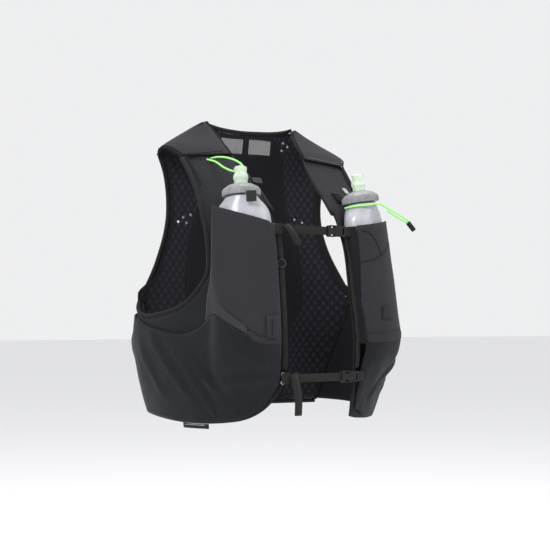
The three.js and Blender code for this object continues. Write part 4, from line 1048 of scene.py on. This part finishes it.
# Slit of the small pocket beside the right rail, and the hem tab's reflective line
slit_tree = tree_of(cloth["zip_pocket"])
slit = [form_point(-angle_at(52, z), z) for z in stops(-266, -285, 12)]
slit = lay([p + FLASKS[-1].normal * 30 for p in slit], slit_tree, lambda p: FLASKS[-1].normal, 60)
ribbon("pocket_slit", slit, 2.6, 0.35)
tab_tree = tree_of(cloth["hem_tab"])
tab_line = [form_point(-angle, -395.5) for angle in stops(49, 60, 14)]
ribbon("hem_tab_line", lay(tab_line, tab_tree), 0.9, 0.3, "reflective", "light")


# Ribs round the screw caps: heights and how far each stands proud, the cap's radius, and the ribs' sunk
# foot, half width and half top, in millimetres
RIB_HEIGHTS = [(0.9, 0.05), (1.5, 0.55), (6.6, 0.55), (7.4, 0.05)]
CAP_RADIUS, RIB_FOOT, RIB_HALF, RIB_TOP = 22.95, 22.3, 0.9, 0.5


def cap_ribs(side, name, count=36):
    flask = FLASKS[side]
    vertices, faces = [], []
    for k in range(count):
        turn = 2 * math.pi * k / count
        out = Vector((math.cos(turn), math.sin(turn), 0))
        across = Vector((-out.y, out.x, 0))
        start = len(vertices)
        for z, proud in RIB_HEIGHTS:
            top = CAP_RADIUS + proud
            for a, b in ((-RIB_HALF, RIB_FOOT), (-RIB_TOP, top), (RIB_TOP, top), (RIB_HALF, RIB_FOOT)):
                p = out * b + across * a
                vertices.append(flask.place(p.x, p.y, z) * MM)
        for i in range(3):
            for j in range(3):
                a = start + 4 * i + j
                faces.append((a, a + 1, a + 5, a + 4))
    mesh_piece(name, vertices, faces, "cap", SIDE_NAME[side] + "_cap")


# Bar tacks across the rails, in evenly spaced threes
RAIL_FIRST, RAIL_LAST, RAIL_SPANS = 152, 326, 7
RAIL_STOPS = [RAIL_FIRST + (RAIL_LAST - RAIL_FIRST) * k / RAIL_SPANS for k in range(RAIL_SPANS + 1)]
for side, name in SIDE_NAME.items():
    cap_ribs(side, name + "_cap_ribs")
    rail = tree_of(cloth[name + "_rail"])
    for k, down in enumerate(RAIL_STOPS):
        inner = inner_angle(side, -down)
        for row in (-0.7, 0.0, 0.7):
            line = []
            for t in spread(12):
                angle = inner + degrees_of(side, -down, mix(0.9, RAIL_WIDTH[side] - 0.5, t))
                line.append(form_point(side * angle, -down + row))
            stitched(f"{name}_tack_{k}_{row}", line, rail, step=0.75, share=1.0, width=0.7, proud=0.4)

# Front seams of the yokes: light piping on the left, dark on the right, and a stitch row beside each
YOKE_STITCH = 0.07
YOKE_PIPING = {-1: (1.4, 0.5, "binding"), 1: (1.6, 0.7, "piping")}
for side, name in SIDE_NAME.items():
    yoke_tree = tree_of(cloth[name + "_yoke"], cloth[name + "_front_panel"])
    ribbon(name + "_yoke_piping", lay(yoke_seam(side, 0), yoke_tree), *YOKE_PIPING[side])
    stitched(name + "_yoke_stitches", yoke_seam(side, YOKE_STITCH), yoke_tree)


# See-through nets in the back's two windows and behind its holes
def net(name, low, high, pitch, thread):
    vertices, faces = [], []

    def strand(points):
        start = len(vertices)
        for i, p in enumerate(points):
            along = (points[min(i + 1, len(points) - 1)] - points[max(i - 1, 0)]).normalized()
            out = Vector((0, 1, 0))
            across = along.cross(out).normalized()
            out = across.cross(along)
            for k in range(4):
                turn = k * math.pi / 2
                vertices.append((p + (across * math.cos(turn) + out * math.sin(turn)) * thread / 2) * MM)
        for i in range(len(points) - 1):
            for k in range(4):
                a, b = start + 4 * i + k, start + 4 * i + (k + 1) % 4
                faces.append((a, b, b + 4, a + 4))

    def on_back(x, share):
        start = Vector((x, -100, mix(low[1], high[1], share))) * MM
        return back_tree.ray_cast(start, Vector((0, 1, 0)), 0.3)[0].y / MM

    sides = [(share, on_back(low[0] - 1.5, share), on_back(high[0] + 1.5, share)) for share in (0, 0.5, 1)]

    def at(x, z):
        s, t = (x - low[0]) / (high[0] - low[0]), (z - low[1]) / (high[1] - low[1])
        return Vector((x, mix(read(sides, t, 1), read(sides, t, 2), s) + 1.1, z))

    width, height = high[0] - low[0], high[1] - low[1]
    count = int(width / pitch)
    for i in range(count + 1):
        x = low[0] + width * i / count
        strand([at(x + 0.22 * math.sin(k * 2.4), low[1] + height * k / 12) for k in range(13)])
    count = int(height / pitch)
    for i in range(count + 1):
        z = low[1] + height * i / count
        strand([at(low[0] + width * k / 16, z) for k in range(17)])
    mesh_piece(name, vertices, faces, "net", smooth_shaded=False)


# Near and far edge from the middle, bottom and top, pitch and thread, in millimetres
NETS = {
    "window_net": (3.4, 38.6, -37.6, -16.4, 1.2, 0.66),
    "neck_hole_net": (46, 65, -34, -14, 1.3, 0.6),
    "blade_hole_net": (71, 96, -142, -118, 1.3, 0.6),
}
for side in (-1, 1):
    for name, (near, far, bottom, top, pitch, thread) in NETS.items():
        first, last = sorted((side * near, side * far))
        net(f"{name}_{side}", (first, bottom), (last, top), pitch, thread)

# Cords
for name, obj in cords.items():
    obj.data.materials.append(PAINTS["cord"])
    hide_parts(name)
    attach(obj, "vest")


# Floor and light
def light(name, place, aim, size, power):
    data = bpy.data.lights.new(name, "AREA")
    data.shape = "RECTANGLE"
    data.size, data.size_y = size
    data.energy = power
    obj = add(name, data)
    obj.location = place
    obj.rotation_euler = (Vector(aim) - Vector(place)).to_track_quat("-Z", "Y").to_euler()


FLOOR_Z, FLOOR_REACH = -0.9, 30
SKY, SKY_STRENGTH = (0.95, 0.955, 0.965, 1), 0.9
corners = [(x * FLOOR_REACH, y * FLOOR_REACH, FLOOR_Z) for x, y in ((-1, -1), (1, -1), (1, 1), (-1, 1))]
floor_mesh = bpy.data.meshes.new("floor")
floor_mesh.from_pydata(corners, [], [(0, 1, 2, 3)])
floor_mesh.materials.append(PAINTS["floor"])
floor = add("floor", floor_mesh)
light("key", (-1.9, -1.7, 1.3), (0, -0.05, -0.2), (1.0, 1.0), 70)
light("fill", (1.9, -1.9, 0.6), (0, -0.05, -0.2), (1.6, 1.6), 26)
light("top", (0.2, 0.3, 2.2), (0, 0, -0.1), (1.4, 1.4), 40)
world = bpy.data.worlds.new("world")
world.use_nodes = True
background = world.node_tree.nodes["Background"]
background.inputs["Color"].default_value = SKY
background.inputs["Strength"].default_value = SKY_STRENGTH
scene.world = world
scene.view_settings.view_transform = "Standard"
